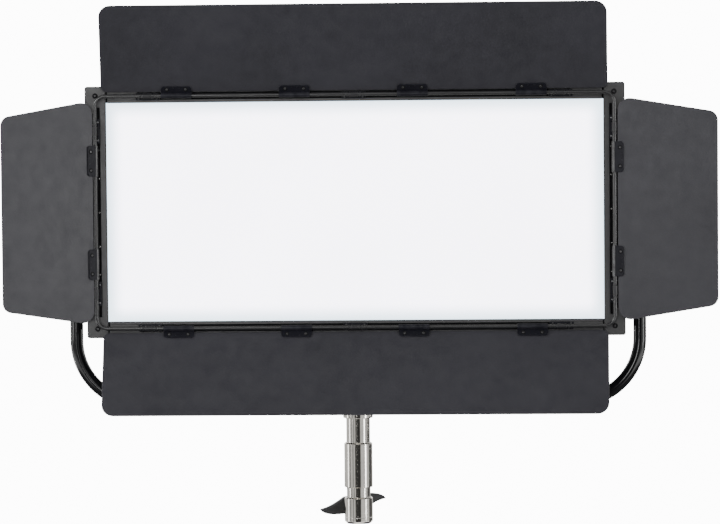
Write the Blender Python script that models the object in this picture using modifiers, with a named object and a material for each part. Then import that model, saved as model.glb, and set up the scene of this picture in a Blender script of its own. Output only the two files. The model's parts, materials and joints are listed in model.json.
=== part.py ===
"""LED panel light with four barn doors, on a tubular yoke with a stand spigot.

Metres, +Z up. The light shines towards -Y. The origin is on the spigot's axis, on the
underside of the shoulder that rests on the stand. The head is drawn about its own centre,
which lies on the tilt axis.
"""

import math

import bmesh
import bpy
from mathutils import Matrix, Vector

GAP = 0.0003  # between pieces that touch
BEYOND = 0.010  # how far a cutter runs past the wall it cuts
OVERLAP = 0.001  # how deep a joined piece reaches into the other

# Front frame, in X and Z where there are two values
TILT_Z = 0.210
APERTURE = (0.4945, 0.218)
FRAME = (0.537, 0.2514)
FRAME_DEPTH = 0.014
FRAME_CORNER = 0.0025
SEAM_CORNER = 0.0004
FACE_Y = -0.038
LIP_THICKNESS = 0.0026
LIP_SIDE = 0.0061
LIP_TOP = 0.0030
GROOVE_SIDE = 0.0030
GROOVE_TOP = 0.0022
GROOVE_DEPTH = 0.0016

# Light source
DIFFUSER_THICKNESS = 0.0025
DIFFUSER_OVERLAP = 0.0040
CHAMBER_DEPTH = 0.0265
SHEET = 0.0012
BOARD_THICKNESS = 0.0016
LED_BOARD_MARGIN = 0.006
LED_STRIPS = 6
LED_STRIP_WIDTH = 0.005
LED_STRIP_HEIGHT = 0.001
LED_STRIP_MARGIN = 0.010

# Housing and what is in it
HOUSING = (0.526, 0.240)
HOUSING_CORNER = 0.004
HOUSING_BACK_Y = 0.022
HOUSING_WALL = 0.0016
BACK_PLATE_THICKNESS = 0.002
ELECTRONICS_X = 0.145
SUPPLY_SIZE = (0.170, 0.100)
DRIVER_SIZE = (0.170, 0.120)
CHOKES = 4
CHOKE_PITCH = 0.040
CHOKE_SIZE = (0.020, 0.025)
CHOKE_Z = -0.0175
CLEARANCE = 0.002  # between the electronics and the sheets around them

# Heat sinks
HEATSINK_INNER_X = 0.088
HEATSINK_OUTER_X = 0.252
HEATSINK_HALF_HEIGHT = 0.104
HEATSINK_BASE = 0.003
FIN_HEIGHT = 0.022
FIN_THICKNESS = 0.0022
FINS = 16

# Control box and its controls, placed in X and Z about the head's centre
CONTROL_BOX_HALF_WIDTH = 0.080
CONTROL_BOX_LOW = -0.085
CONTROL_BOX_HIGH = 0.060
CONTROL_BOX_DEPTH = 0.034
PANEL_THICKNESS = 0.002
CONTROL_BOARD = (0.140, 0.080)
CONTROL_BOARD_Z = 0.010
CONTROL_BOARD_STANDOFF = 0.006
DISPLAY_AT = (-0.038, 0.034)
DISPLAY_SIZE = (0.060, 0.030)
DISPLAY_DEPTH = 0.0046
DISPLAY_SUNK = 0.0004
DIMMER_AT = (0.018, 0.034)
COLOUR_AT = (0.054, 0.034)
ENCODER_RADIUS = 0.011
ENCODER_HEIGHT = 0.017
ENCODER_LIFT = 0.0006
ENCODER_CHAMFER = 0.0015
ENCODER_SHAFT = 0.0034
ENCODER_SHAFT_LENGTH = 0.008
BUTTON_XS = (-0.062, -0.046, -0.030, -0.014)
BUTTON_Z = 0.002
BUTTON_SIZE = (0.011, 0.007)
BUTTON_HEIGHT = 0.0022
BUTTON_DEPTH = 0.006
SWITCH_AT = (0.054, -0.008)
SWITCH_SIZE = (0.014, 0.021)
SWITCH_AXIS_DEPTH = 0.002
SWITCH_END_GAP = 0.0012
SWITCH_BASE = 0.003
SWITCH_TIP = 0.0052
SWITCH_MIDDLE = 0.0034
SWITCH_REST = 8.0
INLET_AT = (0.050, -0.053)
INLET_RADIUS = 0.0126
INLET_RECESS = 0.0100
DMX_IN_AT = (-0.058, -0.052)
DMX_OUT_AT = (-0.022, -0.052)
DMX_RADIUS = 0.0108
DMX_RECESS = 0.0080
RECESS_DEPTH = 0.012
DMX_OUT_RECESS_DEPTH = 0.0012
SOCKET_CLEARANCE = 0.0004
SOCKET_RIM = 0.0028
SOCKET_RIM_HEIGHT = 0.0022
SOCKET_DEPTH = 0.016
USB_AT = (0.012, -0.052)
USB_SIZE = (0.0132, 0.0072)
USB_DEPTH = 0.012
USB_WALL = 0.0008
USB_FLOOR = 0.002
USB_TONGUE = (0.0090, 0.0017)
USB_TONGUE_Z = 0.00095

# Safety eye
EYE_Z = 0.088
EYE_FOOT_RADIUS = 0.009
EYE_FOOT_HEIGHT = 0.003
EYE_RING_RADIUS = 0.0095
EYE_WIRE_RADIUS = 0.0024
EYE_RING_STANDS = 0.0135

# Door frame: a rod loop on small feet
LOOP = (0.5152, 0.2314)
LOOP_CORNER = 0.0105
LOOP_AHEAD = 0.0065
ROD_RADIUS = 0.0019
FOOT_LENGTH = 0.024
FOOT_INNER = 0.0042
FOOT_OUTER = 0.0030
FOOT_PLATE = 0.0015
FOOT_WEB = 0.0024
FOOT_WEB_INSET = 0.0004
FOOT_XS = (-0.205, 0.0, 0.205)
FOOT_ZS = (-0.081, 0.081)

# Doors: width at the hinge, width at the free edge and depth from the rod's axis
WIDE_LEAF = (0.503, 0.500, 0.092)
WIDE_CORNERS = (0.006, 0.013)
WIDE_OFFSET = -0.0037  # of the outer side from the rod's axis, positive towards the light
TALL_LEAF = (0.2232, 0.1902, 0.102)
TALL_CORNERS = (0.012, 0.010)
TALL_OFFSET = 0.0004
LEAF_THICKNESS = 0.0012
LEAF_START = 0.0035
TOP_LEAN = 17.0
BOTTOM_LEAN = 26.0
LEFT_LEAN = 32.5
RIGHT_LEAN = 7.5
HINGE_LENGTH = 0.0305
HINGE_START = 0.0008
HINGE_REACH = 0.0093
HINGE_PLATE = 0.0012
HINGE_SEAM_CORNER = 0.0002
HINGE_CORNER = 0.003
SLEEVE_RADIUS = 0.0028
SLEEVE_BORE = 0.0023
WIDE_HINGE_XS = (-0.176, -0.0585, 0.0585, 0.176)
TALL_HINGE_XS = (-0.0515, 0.0515)

# Yoke and tilt pivots
YOKE_HALF_WIDTH = 0.2842
YOKE_TUBE_RADIUS = 0.0066
YOKE_BOTTOM_Z = 0.016
YOKE_BEND = 0.0635
YOKE_BEND_STEPS = 8
EYE_RADIUS = 0.015
EYE_THICKNESS = 0.011
TUBE_INTO_EYE = 0.0025
STUD_RADIUS = 0.0048
STUD_HOLE = 0.0053
STUD_END_GAP = 0.0015
WASHER_RADIUS = 0.012
WASHER_THICKNESS = 0.0024
BOSS_RADIUS = 0.014
BOSS_FLANGE_RADIUS = 0.021
BOSS_FLANGE = 0.003
BOSS_FILLET = 0.0005
BOSS_FLOOR = 0.0015
KNOB_RADIUS = 0.018
KNOB_LENGTH = 0.022
KNOB_CHAMFER = 0.003
KNOB_NECK_RADIUS = 0.011
KNOB_NECK = 0.003

# Spigot, its saddle and its bolt
SHOULDER_RADIUS = 0.015
SHOULDER_HEIGHT = 0.005
SPIGOT_RADIUS = 0.0143
SPIGOT_CHAMFER = 0.0010
SPIGOT_END_CHAMFER = 0.0024
NECK_RADIUS = 0.01205
NECK_END_Z = -0.0248
LOCK_GROOVE_TOP_Z = -0.0701
LOCK_GROOVE_END_Z = -0.0801
SPIGOT_END_Z = -0.1068
SOCKET_RADIUS = 0.0082
SOCKET_TOP_Z = -0.035
BOLT_RADIUS = 0.0044
BOLT_HOLE = 0.0047
BOLT_DEPTH = 0.017
BOLT_HEAD_RADIUS = 0.0085
BOLT_HEAD_HEIGHT = 0.006
BOLT_WASHER_RADIUS = 0.010
BOLT_WASHER_THICKNESS = 0.0015
SADDLE_HALF_LENGTH = 0.018
SADDLE_HALF_DEPTH = 0.013
SADDLE_CORNER = 0.002

# Wing handle, about its screw's axis, which runs through the spigot's wall
WING_Z = -0.0902
WING_TURN = 16.0
WING_TILT = 7.5
WING_SPAN = 0.0345
WING_ROOT = 0.0085
WING_HOLLOW = 1.7
WING_STEPS = 7
WING_START = 0.0215
WING_END = 0.0295
WING_HUB_RADIUS = 0.0092
WING_HUB_START = 0.0165
WING_HUB_END = 0.032
WING_STUD_RADIUS = 0.0039
WING_STUD_HOLE = 0.0043
WING_STUD_START = 0.0088
WING_HOLE_START = 0.004

# Where each layer of the head begins, from the front to the back
LIP_BACK_Y = FACE_Y + LIP_THICKNESS
FRAME_BACK_Y = FACE_Y + FRAME_DEPTH
DIFFUSER_Y = LIP_BACK_Y + GAP
CHAMBER_Y = DIFFUSER_Y + DIFFUSER_THICKNESS + GAP
CHAMBER_BACK_Y = CHAMBER_Y + CHAMBER_DEPTH
BACK_PLATE_Y = HOUSING_BACK_Y + GAP
BACK_Y = BACK_PLATE_Y + BACK_PLATE_THICKNESS + GAP
PANEL_Y = BACK_Y + CONTROL_BOX_DEPTH + GAP
PANEL_BACK_Y = PANEL_Y + PANEL_THICKNESS
ROD_Y = FACE_Y - LOOP_AHEAD

UP = Vector((0, 0, 1))
SMOOTH_ANGLE = math.radians(35)


def collection(name):
    made = bpy.data.collections.new(name)
    bpy.context.scene.collection.children.link(made)
    return made


def clear_scene():
    for obj in list(bpy.data.objects):
        bpy.data.objects.remove(obj, do_unlink=True)


def material(name, colour, roughness, metallic=0.0, glow=0.0):
    made = bpy.data.materials.new(name)
    made.use_nodes = True
    shader = made.node_tree.nodes["Principled BSDF"]
    shader.inputs["Base Color"].default_value = (*colour, 1)
    shader.inputs["Roughness"].default_value = roughness
    shader.inputs["Metallic"].default_value = metallic
    shader.inputs["Emission Color"].default_value = (*colour, 1)
    shader.inputs["Emission Strength"].default_value = glow
    return made


clear_scene()
PARTS = collection("led_panel_light")
HELPERS = collection("cutters_and_joins")


# Making single pieces ------------------------------------------------------------------


def place(name, mesh, finish=None, parent=None, matrix=None):
    """A part when it has a finish, otherwise a hidden helper for a Boolean."""
    mesh.shade_smooth()
    mesh.set_sharp_from_angle(angle=SMOOTH_ANGLE)
    obj = bpy.data.objects.new(name, mesh)
    if finish:
        PARTS.objects.link(obj)
        mesh.materials.append(finish)
    else:
        HELPERS.objects.link(obj)
        obj.hide_render = True
        obj.display_type = "WIRE"
    obj.parent = parent
    if matrix:
        obj.matrix_local = matrix
    return obj


def mesh_from(name, bm):
    mesh = bpy.data.meshes.new(name)
    bm.to_mesh(mesh)
    bm.free()
    return mesh


def box(name, corner, opposite, finish=None, parent=None, matrix=None):
    corner, opposite = Vector(corner), Vector(opposite)
    size = [abs(a - b) for a, b in zip(corner, opposite)]
    bm = bmesh.new()
    bmesh.ops.create_cube(bm, size=1)
    bmesh.ops.scale(bm, vec=size, verts=bm.verts)
    bmesh.ops.translate(bm, vec=(corner + opposite) / 2, verts=bm.verts)
    return place(name, mesh_from(name, bm), finish, parent, matrix)


def cylinder(name, start, end, radius, sides, finish=None, parent=None, matrix=None):
    start, end = Vector(start), Vector(end)
    along = end - start
    turn = UP.rotation_difference(along).to_matrix().to_4x4()
    bm = bmesh.new()
    bmesh.ops.create_cone(
        bm,
        cap_ends=True,
        segments=sides,
        radius1=radius,
        radius2=radius,
        depth=along.length,
        matrix=Matrix.Translation((start + end) / 2) @ turn,
    )
    return place(name, mesh_from(name, bm), finish, parent, matrix)


def evaluated_mesh(obj):
    """The object's shape as a welded mesh, with the object removed."""
    bpy.context.view_layer.update()
    graph = bpy.context.evaluated_depsgraph_get()
    mesh = bpy.data.meshes.new_from_object(obj.evaluated_get(graph))
    mesh.name = obj.name
    bpy.data.objects.remove(obj, do_unlink=True)
    bm = bmesh.new()
    bm.from_mesh(mesh)
    bmesh.ops.remove_doubles(bm, verts=bm.verts, dist=1e-6)
    bm.to_mesh(mesh)
    bm.free()
    mesh.materials.clear()
    return mesh


def spline_mesh(curve, points, closed):
    spline = curve.splines.new("POLY")
    spline.points.add(len(points) - 1)
    for point, position in zip(spline.points, points):
        point.co = (*Vector(position).to_3d(), 1)
    spline.use_cyclic_u = closed
    obj = bpy.data.objects.new(curve.name, curve)
    HELPERS.objects.link(obj)
    return evaluated_mesh(obj)


def tube_mesh(name, points, closed, radius, resolution=2):
    curve = bpy.data.curves.new(name, "CURVE")
    curve.dimensions = "3D"
    curve.bevel_depth = radius
    curve.bevel_resolution = resolution
    curve.use_fill_caps = True
    return spline_mesh(curve, points, closed)


def flat_mesh(name, outline, thickness):
    """A filled outline in X and Y, with half its thickness on each side of Z = 0."""
    curve = bpy.data.curves.new(name, "CURVE")
    curve.dimensions = "2D"
    curve.fill_mode = "BOTH"
    curve.extrude = thickness / 2
    return spline_mesh(curve, outline, True)


def plate(name, outline, low_y, high_y, finish=None, parent=None, matrix=None):
    """An outline in X and Z, filled from low_y to high_y."""
    mesh = flat_mesh(name, outline, high_y - low_y)
    mesh.transform(Matrix.Translation((0, (low_y + high_y) / 2, 0)) @ turn_about("X", 90))
    return place(name, mesh, finish, parent, matrix)


def turned(name, profile, steps, finish=None, parent=None, matrix=None):
    """A profile of (radius, height) points, top to bottom, turned about Z."""
    bm = bmesh.new()
    verts = [bm.verts.new((radius, 0, height)) for radius, height in profile]
    for first, second in zip(verts, verts[1:]):
        bm.edges.new((first, second))
    obj = place(name, mesh_from(name, bm), finish, parent, matrix)
    screw = obj.modifiers.new("turn", "SCREW")
    screw.steps = steps
    screw.render_steps = steps
    screw.use_merge_vertices = True
    screw.merge_threshold = 1e-5
    screw.use_smooth_shade = True
    return obj


def boolean(obj, operation, others):
    for other in others:
        modifier = obj.modifiers.new(other.name, "BOOLEAN")
        modifier.operation = operation
        modifier.object = other


def join(obj, *others):
    boolean(obj, "UNION", others)


def cut(obj, *others):
    boolean(obj, "DIFFERENCE", others)


def rounded(corners, radii, steps=4):
    """A closed outline through corners, each turned into an arc of its own radius."""
    outline = []
    for index, (corner, radius) in enumerate(zip(corners, radii)):
        here = Vector(corner)
        back = (Vector(corners[index - 1]) - here).normalized()
        on = (Vector(corners[(index + 1) % len(corners)]) - here).normalized()
        half = back.angle(on) / 2
        centre = here + (back + on).normalized() * radius / math.sin(half)
        start = here + back * radius / math.tan(half) - centre
        end = here + on * radius / math.tan(half) - centre
        swing = start.angle_signed(end)
        for step in range(steps + 1):
            turn = Matrix.Rotation(-swing * step / steps, 2)
            outline.append(tuple(centre + turn @ start))
    return outline


def rectangle(low, high, radius, steps=2):
    corners = [low, (high[0], low[1]), high, (low[0], high[1])]
    return rounded(corners, [radius] * 4, steps)


def centred_rectangle(half_width, half_height, radius, steps=2):
    return rectangle((-half_width, -half_height), (half_width, half_height), radius, steps)


def pivot(name, location, rotation=Matrix.Identity(4), parent=None):
    empty = bpy.data.objects.new(name, None)
    PARTS.objects.link(empty)
    empty.parent = parent
    empty.matrix_local = Matrix.Translation(location) @ rotation
    return empty


def turn_about(axis, degrees):
    return Matrix.Rotation(math.radians(degrees), 4, axis)


# Finishes ------------------------------------------------------------------------------

DOOR_PAINT = material("door_paint", (0.045, 0.045, 0.050), 0.55)
FRAME_PAINT = material("frame_paint", (0.030, 0.030, 0.033), 0.5)
HOUSING_PAINT = material("housing_paint", (0.022, 0.022, 0.025), 0.55)
YOKE_PAINT = material("yoke_paint", (0.018, 0.018, 0.020), 0.3)
BLACK_STEEL = material("black_steel", (0.010, 0.010, 0.012), 0.35, 0.6)
SPIGOT_STEEL = material("spigot_steel", (0.66, 0.64, 0.60), 0.22, 1.0)
BRIGHT_STEEL = material("bright_steel", (0.60, 0.60, 0.60), 0.3, 1.0)
BLACK_ALUMINIUM = material("black_aluminium", (0.020, 0.020, 0.022), 0.45, 0.5)
BLACK_PLASTIC = material("black_plastic", (0.014, 0.014, 0.015), 0.5)
GREY_PLASTIC = material("grey_plastic", (0.25, 0.25, 0.26), 0.5)
RED_PLASTIC = material("red_plastic", (0.45, 0.03, 0.02), 0.4)
OPAL = material("opal_diffuser", (0.93, 0.93, 0.96), 0.5, glow=1.0)
WHITE_PAINT = material("white_paint", (0.85, 0.85, 0.85), 0.6)
BOARD_GREEN = material("board_green", (0.03, 0.16, 0.06), 0.5)
BOARD_WHITE = material("board_white", (0.80, 0.80, 0.76), 0.5)
SUPPLY_CASE = material("supply_case", (0.50, 0.50, 0.50), 0.4, 1.0)
SCREEN = material("screen", (0.01, 0.02, 0.03), 0.1)
FIBRE = material("fibre_washer", (0.05, 0.04, 0.035), 0.8)


# Yoke and spigot -----------------------------------------------------------------------


def yoke_path():
    """From the left leg's top, down, along the bottom and up to the right leg's top."""
    leg_top = TILT_Z - EYE_RADIUS + TUBE_INTO_EYE
    bend_z = YOKE_BOTTOM_Z + YOKE_BEND
    bend_x = YOKE_HALF_WIDTH - YOKE_BEND
    half = [(YOKE_HALF_WIDTH, 0, leg_top)]
    for step in range(YOKE_BEND_STEPS + 1):
        angle = math.radians(90 * step / YOKE_BEND_STEPS)
        across = bend_x + YOKE_BEND * math.cos(angle)
        half.append((across, 0, bend_z - YOKE_BEND * math.sin(angle)))
    half.append((SADDLE_HALF_LENGTH, 0, YOKE_BOTTOM_Z))
    return [(-x, y, z) for x, y, z in half] + half[::-1]


def make_yoke():
    yoke = place("yoke", tube_mesh("yoke", yoke_path(), False, YOKE_TUBE_RADIUS, 4), YOKE_PAINT)
    for side, label in ((-1, "left"), (1, "right")):
        inner = side * (YOKE_HALF_WIDTH - EYE_THICKNESS / 2)
        outer = side * (YOKE_HALF_WIDTH + EYE_THICKNESS / 2)
        eye = cylinder(
            f"yoke_eye_{label}", (inner, 0, TILT_Z), (outer, 0, TILT_Z), EYE_RADIUS, 24
        )
        hole = cylinder(
            f"yoke_eye_hole_{label}",
            (inner - side * BEYOND, 0, TILT_Z),
            (outer + side * BEYOND, 0, TILT_Z),
            STUD_HOLE,
            16,
        )
        join(yoke, eye)
        cut(yoke, hole)
    bolt_hole = cylinder(
        "yoke_bolt_hole", (0, 0, 0), (0, 0, YOKE_BOTTOM_Z * 2), BOLT_HOLE, 16
    )
    cut(yoke, bolt_hole)


def make_saddle():
    """The block between the spigot and the tube, with a half-round bed for the tube."""
    outline = rectangle(
        (-SADDLE_HALF_LENGTH, SHOULDER_HEIGHT + GAP),
        (SADDLE_HALF_LENGTH, YOKE_BOTTOM_Z),
        SADDLE_CORNER,
    )
    saddle = plate(
        "yoke_saddle", outline, -SADDLE_HALF_DEPTH, SADDLE_HALF_DEPTH, BLACK_ALUMINIUM
    )
    bed_end = SADDLE_HALF_LENGTH + BEYOND
    bed = cylinder(
        "saddle_bed",
        (-bed_end, 0, YOKE_BOTTOM_Z),
        (bed_end, 0, YOKE_BOTTOM_Z),
        YOKE_TUBE_RADIUS + GAP,
        24,
    )
    hole = cylinder("saddle_hole", (0, 0, 0), (0, 0, YOKE_BOTTOM_Z * 2), BOLT_HOLE, 16)
    cut(saddle, bed, hole)


def make_bolt():
    seat = YOKE_BOTTOM_Z + YOKE_TUBE_RADIUS + GAP
    head_top = seat + BOLT_HEAD_HEIGHT
    washer_top = seat + BOLT_WASHER_THICKNESS
    shank_end = SHOULDER_HEIGHT - BOLT_DEPTH
    bolt = cylinder(
        "spigot_bolt", (0, 0, seat), (0, 0, head_top), BOLT_HEAD_RADIUS, 6, BRIGHT_STEEL
    )
    washer = cylinder(
        "bolt_washer", (0, 0, seat), (0, 0, washer_top), BOLT_WASHER_RADIUS, 20
    )
    shank = cylinder("bolt_shank", (0, 0, shank_end), (0, 0, washer_top), BOLT_RADIUS, 16)
    join(bolt, washer, shank)


def make_spigot():
    bolt_floor = SHOULDER_HEIGHT - BOLT_DEPTH - OVERLAP
    profile = [
        (0, bolt_floor),
        (BOLT_HOLE, bolt_floor),
        (BOLT_HOLE, SHOULDER_HEIGHT),
        (SHOULDER_RADIUS, SHOULDER_HEIGHT),
        (SHOULDER_RADIUS, 0),
        (NECK_RADIUS, 0),
        (NECK_RADIUS, NECK_END_Z),
        (SPIGOT_RADIUS - SPIGOT_CHAMFER, NECK_END_Z),
        (SPIGOT_RADIUS, NECK_END_Z - SPIGOT_CHAMFER),
        (SPIGOT_RADIUS, LOCK_GROOVE_TOP_Z),
        (NECK_RADIUS, LOCK_GROOVE_TOP_Z),
        (NECK_RADIUS, LOCK_GROOVE_END_Z),
        (SPIGOT_RADIUS - SPIGOT_CHAMFER, LOCK_GROOVE_END_Z),
        (SPIGOT_RADIUS, LOCK_GROOVE_END_Z - SPIGOT_CHAMFER),
        (SPIGOT_RADIUS, SPIGOT_END_Z + SPIGOT_END_CHAMFER),
        (SPIGOT_RADIUS - SPIGOT_END_CHAMFER, SPIGOT_END_Z),
        (SOCKET_RADIUS + SPIGOT_CHAMFER, SPIGOT_END_Z),
        (SOCKET_RADIUS, SPIGOT_END_Z + SPIGOT_CHAMFER),
        (SOCKET_RADIUS, SOCKET_TOP_Z),
        (0, SOCKET_TOP_Z + SOCKET_RADIUS / 2),
    ]
    spigot = turned("spigot", profile, 28, SPIGOT_STEEL)
    side = Matrix.Translation((0, 0, WING_Z)) @ turn_about("Z", WING_TURN)
    outside = SPIGOT_RADIUS + BEYOND
    hole = cylinder(
        "wing_stud_hole",
        (0, WING_HOLE_START, 0),
        (0, outside, 0),
        WING_STUD_HOLE,
        14,
        matrix=side,
    )
    cut(spigot, hole)


def wing_outline():
    """Two fins, each the other turned by half a turn: hollow on one edge, full on the other."""
    reach = WING_SPAN - WING_ROOT
    fin = []
    for step in range(WING_STEPS + 1):
        along = step / WING_STEPS
        fin.append((-WING_ROOT - reach * along, WING_ROOT * (1 - along) ** WING_HOLLOW))
    for step in range(1, WING_STEPS + 1):
        along = 1 - step / WING_STEPS
        fin.append((-WING_ROOT - reach * along, -WING_ROOT * math.sqrt(1 - along**2)))
    return fin + [(-x, -z) for x, z in fin]


def make_wing():
    axis = pivot("wing_axis", (0, 0, WING_Z), turn_about("Z", WING_TURN))
    wing = plate(
        "wing_handle",
        wing_outline(),
        WING_START,
        WING_END,
        BLACK_PLASTIC,
        axis,
        turn_about("Y", -WING_TILT),
    )
    hub = cylinder(
        "wing_hub", (0, WING_HUB_START, 0), (0, WING_HUB_END, 0), WING_HUB_RADIUS, 18, parent=axis
    )
    stud = cylinder(
        "wing_stud", (0, WING_STUD_START, 0), (0, WING_START, 0), WING_STUD_RADIUS, 14, parent=axis
    )
    join(wing, hub, stud)


# Front frame, diffuser and light source ------------------------------------------------


def make_cheek(name, side, head):
    """A side piece of the frame: full height, with a lip over the diffuser and a groove."""
    inner = side * APERTURE[0] / 2
    outer = side * FRAME[0] / 2
    half_height = FRAME[1] / 2
    corners = [(inner, -half_height), (outer, -half_height), (outer, half_height), (inner, half_height)]
    radii = [SEAM_CORNER, FRAME_CORNER, FRAME_CORNER, SEAM_CORNER]
    cheek = plate(name, rounded(corners, radii), FACE_Y, FRAME_BACK_Y, FRAME_PAINT, head)
    rebate_height = APERTURE[1] / 2 + DIFFUSER_OVERLAP + GAP
    rebate = box(
        f"{name}_rebate",
        (inner + side * (DIFFUSER_OVERLAP + GAP), LIP_BACK_Y, -rebate_height),
        (inner - side * BEYOND, FRAME_BACK_Y + BEYOND, rebate_height),
        parent=head,
    )
    groove = box(
        f"{name}_groove",
        (inner + side * LIP_SIDE, FACE_Y - BEYOND, -APERTURE[1] / 2),
        (inner + side * (LIP_SIDE + GROOVE_SIDE), FACE_Y + GROOVE_DEPTH, APERTURE[1] / 2),
        parent=head,
    )
    cut(cheek, rebate, groove)


def make_rail(name, side, head):
    """A top or bottom piece of the frame, between the cheeks."""
    half_width = APERTURE[0] / 2 - GAP
    beyond = half_width + BEYOND
    inner = side * APERTURE[1] / 2
    outer = side * FRAME[1] / 2
    rail = box(
        name, (-half_width, FACE_Y, inner), (half_width, FRAME_BACK_Y, outer), FRAME_PAINT, head
    )
    rebate = box(
        f"{name}_rebate",
        (-beyond, LIP_BACK_Y, inner - side * BEYOND),
        (beyond, FRAME_BACK_Y + BEYOND, inner + side * (DIFFUSER_OVERLAP + GAP)),
        parent=head,
    )
    groove = box(
        f"{name}_groove",
        (-beyond, FACE_Y - BEYOND, inner + side * LIP_TOP),
        (beyond, FACE_Y + GROOVE_DEPTH, inner + side * (LIP_TOP + GROOVE_TOP)),
        parent=head,
    )
    cut(rail, rebate, groove)


def make_diffuser(half_x, half_z, head):
    back = DIFFUSER_Y + DIFFUSER_THICKNESS
    box("diffuser", (-half_x, DIFFUSER_Y, -half_z), (half_x, back, half_z), OPAL, head)


def make_chamber(half_x, half_z, head):
    """A white tray, open towards the diffuser, with the LED board on its floor."""
    tray = box(
        "mixing_chamber",
        (-half_x, CHAMBER_Y, -half_z),
        (half_x, CHAMBER_BACK_Y, half_z),
        WHITE_PAINT,
        head,
    )
    hollow = box(
        "chamber_hollow",
        (-half_x + SHEET, CHAMBER_Y - BEYOND, -half_z + SHEET),
        (half_x - SHEET, CHAMBER_BACK_Y - SHEET, half_z - SHEET),
        parent=head,
    )
    cut(tray, hollow)


def make_led_board(half_x, half_z, head):
    back = CHAMBER_BACK_Y - SHEET - GAP
    front = back - BOARD_THICKNESS
    board = box("led_board", (-half_x, front, -half_z), (half_x, back, half_z), BOARD_WHITE, head)
    strip_end = half_x - LED_STRIP_MARGIN
    for row in range(LED_STRIPS):
        middle = half_z * ((2 * row + 1) / LED_STRIPS - 1)
        strip = box(
            f"led_strip_{row + 1}",
            (-strip_end, front - LED_STRIP_HEIGHT, middle - LED_STRIP_WIDTH / 2),
            (strip_end, front + BOARD_THICKNESS / 2, middle + LED_STRIP_WIDTH / 2),
            parent=head,
        )
        join(board, strip)


def make_light_source(head):
    half_x = APERTURE[0] / 2 + DIFFUSER_OVERLAP
    half_z = APERTURE[1] / 2 + DIFFUSER_OVERLAP
    make_diffuser(half_x, half_z, head)
    make_chamber(half_x, half_z, head)
    make_led_board(half_x - LED_BOARD_MARGIN, half_z - LED_BOARD_MARGIN, head)


# Housing, electronics and heat sinks ---------------------------------------------------


def make_housing(head):
    front = FRAME_BACK_Y + GAP
    half_x = HOUSING[0] / 2
    half_z = HOUSING[1] / 2
    outside = centred_rectangle(half_x, half_z, HOUSING_CORNER)
    inside = centred_rectangle(
        half_x - HOUSING_WALL, half_z - HOUSING_WALL, HOUSING_CORNER - HOUSING_WALL
    )
    shell = plate("housing", outside, front, HOUSING_BACK_Y, HOUSING_PAINT, head)
    hollow = plate(
        "housing_hollow", inside, front - BEYOND, HOUSING_BACK_Y + BEYOND, parent=head
    )
    cut(shell, hollow)
    plate("back_plate", outside, BACK_PLATE_Y, BACK_Y - GAP, HOUSING_PAINT, head)


def make_electronics(head):
    """The power supply on the left and the LED driver on the right, behind the chamber."""
    front = CHAMBER_BACK_Y + CLEARANCE
    back = BACK_PLATE_Y - CLEARANCE
    half_x, half_z = SUPPLY_SIZE[0] / 2, SUPPLY_SIZE[1] / 2
    box(
        "power_supply",
        (-ELECTRONICS_X - half_x, front, -half_z),
        (-ELECTRONICS_X + half_x, back, half_z),
        SUPPLY_CASE,
        head,
    )
    half_x, half_z = DRIVER_SIZE[0] / 2, DRIVER_SIZE[1] / 2
    driver = box(
        "driver_board",
        (ELECTRONICS_X - half_x, front, -half_z),
        (ELECTRONICS_X + half_x, front + BOARD_THICKNESS, half_z),
        BOARD_GREEN,
        head,
    )
    for index in range(CHOKES):
        middle = ELECTRONICS_X + CHOKE_PITCH * (index - (CHOKES - 1) / 2)
        choke = box(
            f"choke_{index + 1}",
            (middle - CHOKE_SIZE[0] / 2, front + OVERLAP, CHOKE_Z - CHOKE_SIZE[1] / 2),
            (middle + CHOKE_SIZE[0] / 2, back - CLEARANCE, CHOKE_Z + CHOKE_SIZE[1] / 2),
            parent=head,
        )
        join(driver, choke)


def heatsink_outline(side):
    """The section of a heat sink in X and Y: a base with upright fins."""
    width = HEATSINK_OUTER_X - HEATSINK_INNER_X
    pitch = (width - FIN_THICKNESS) / (FINS - 1)
    top = HEATSINK_BASE + FIN_HEIGHT
    outline = [(HEATSINK_INNER_X, 0), (HEATSINK_OUTER_X, 0)]
    for index in reversed(range(FINS)):
        left = HEATSINK_INNER_X + index * pitch
        outline.append((left + FIN_THICKNESS, top))
        outline.append((left, top))
        if index:
            outline.append((left, HEATSINK_BASE))
            outline.append((left - pitch + FIN_THICKNESS, HEATSINK_BASE))
    return [(side * x, y) for x, y in outline]


def make_heatsinks(head):
    for side, label in ((-1, "left"), (1, "right")):
        name = f"heatsink_{label}"
        mesh = flat_mesh(name, heatsink_outline(side), 2 * HEATSINK_HALF_HEIGHT)
        mesh.transform(Matrix.Translation((0, BACK_Y, 0)))
        place(name, mesh, BLACK_ALUMINIUM, head)


def make_safety_eye(head):
    """A ring on a round foot, for a safety cable."""
    foot = Vector((0, BACK_Y, EYE_Z))
    foot_end = foot + Vector((0, EYE_FOOT_HEIGHT, 0))
    eye = cylinder("safety_eye", foot, foot_end, EYE_FOOT_RADIUS, 16, BRIGHT_STEEL, head)
    centre = foot + Vector((0, EYE_RING_STANDS, 0))
    count = 18
    ring = []
    for index in range(count):
        angle = 2 * math.pi * index / count
        ring.append(centre + Vector((0, math.cos(angle), math.sin(angle))) * EYE_RING_RADIUS)
    mesh = tube_mesh("safety_ring", ring, True, EYE_WIRE_RADIUS)
    join(eye, place("safety_ring", mesh, parent=head))


# Control box ---------------------------------------------------------------------------


def panel_slot(name, at, size, head):
    """A cutter for a rectangular hole in the control panel."""
    x, z = at
    return box(
        name,
        (x - size[0] / 2, PANEL_Y - BEYOND, z - size[1] / 2),
        (x + size[0] / 2, PANEL_BACK_Y + BEYOND, z + size[1] / 2),
        parent=head,
    )


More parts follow.
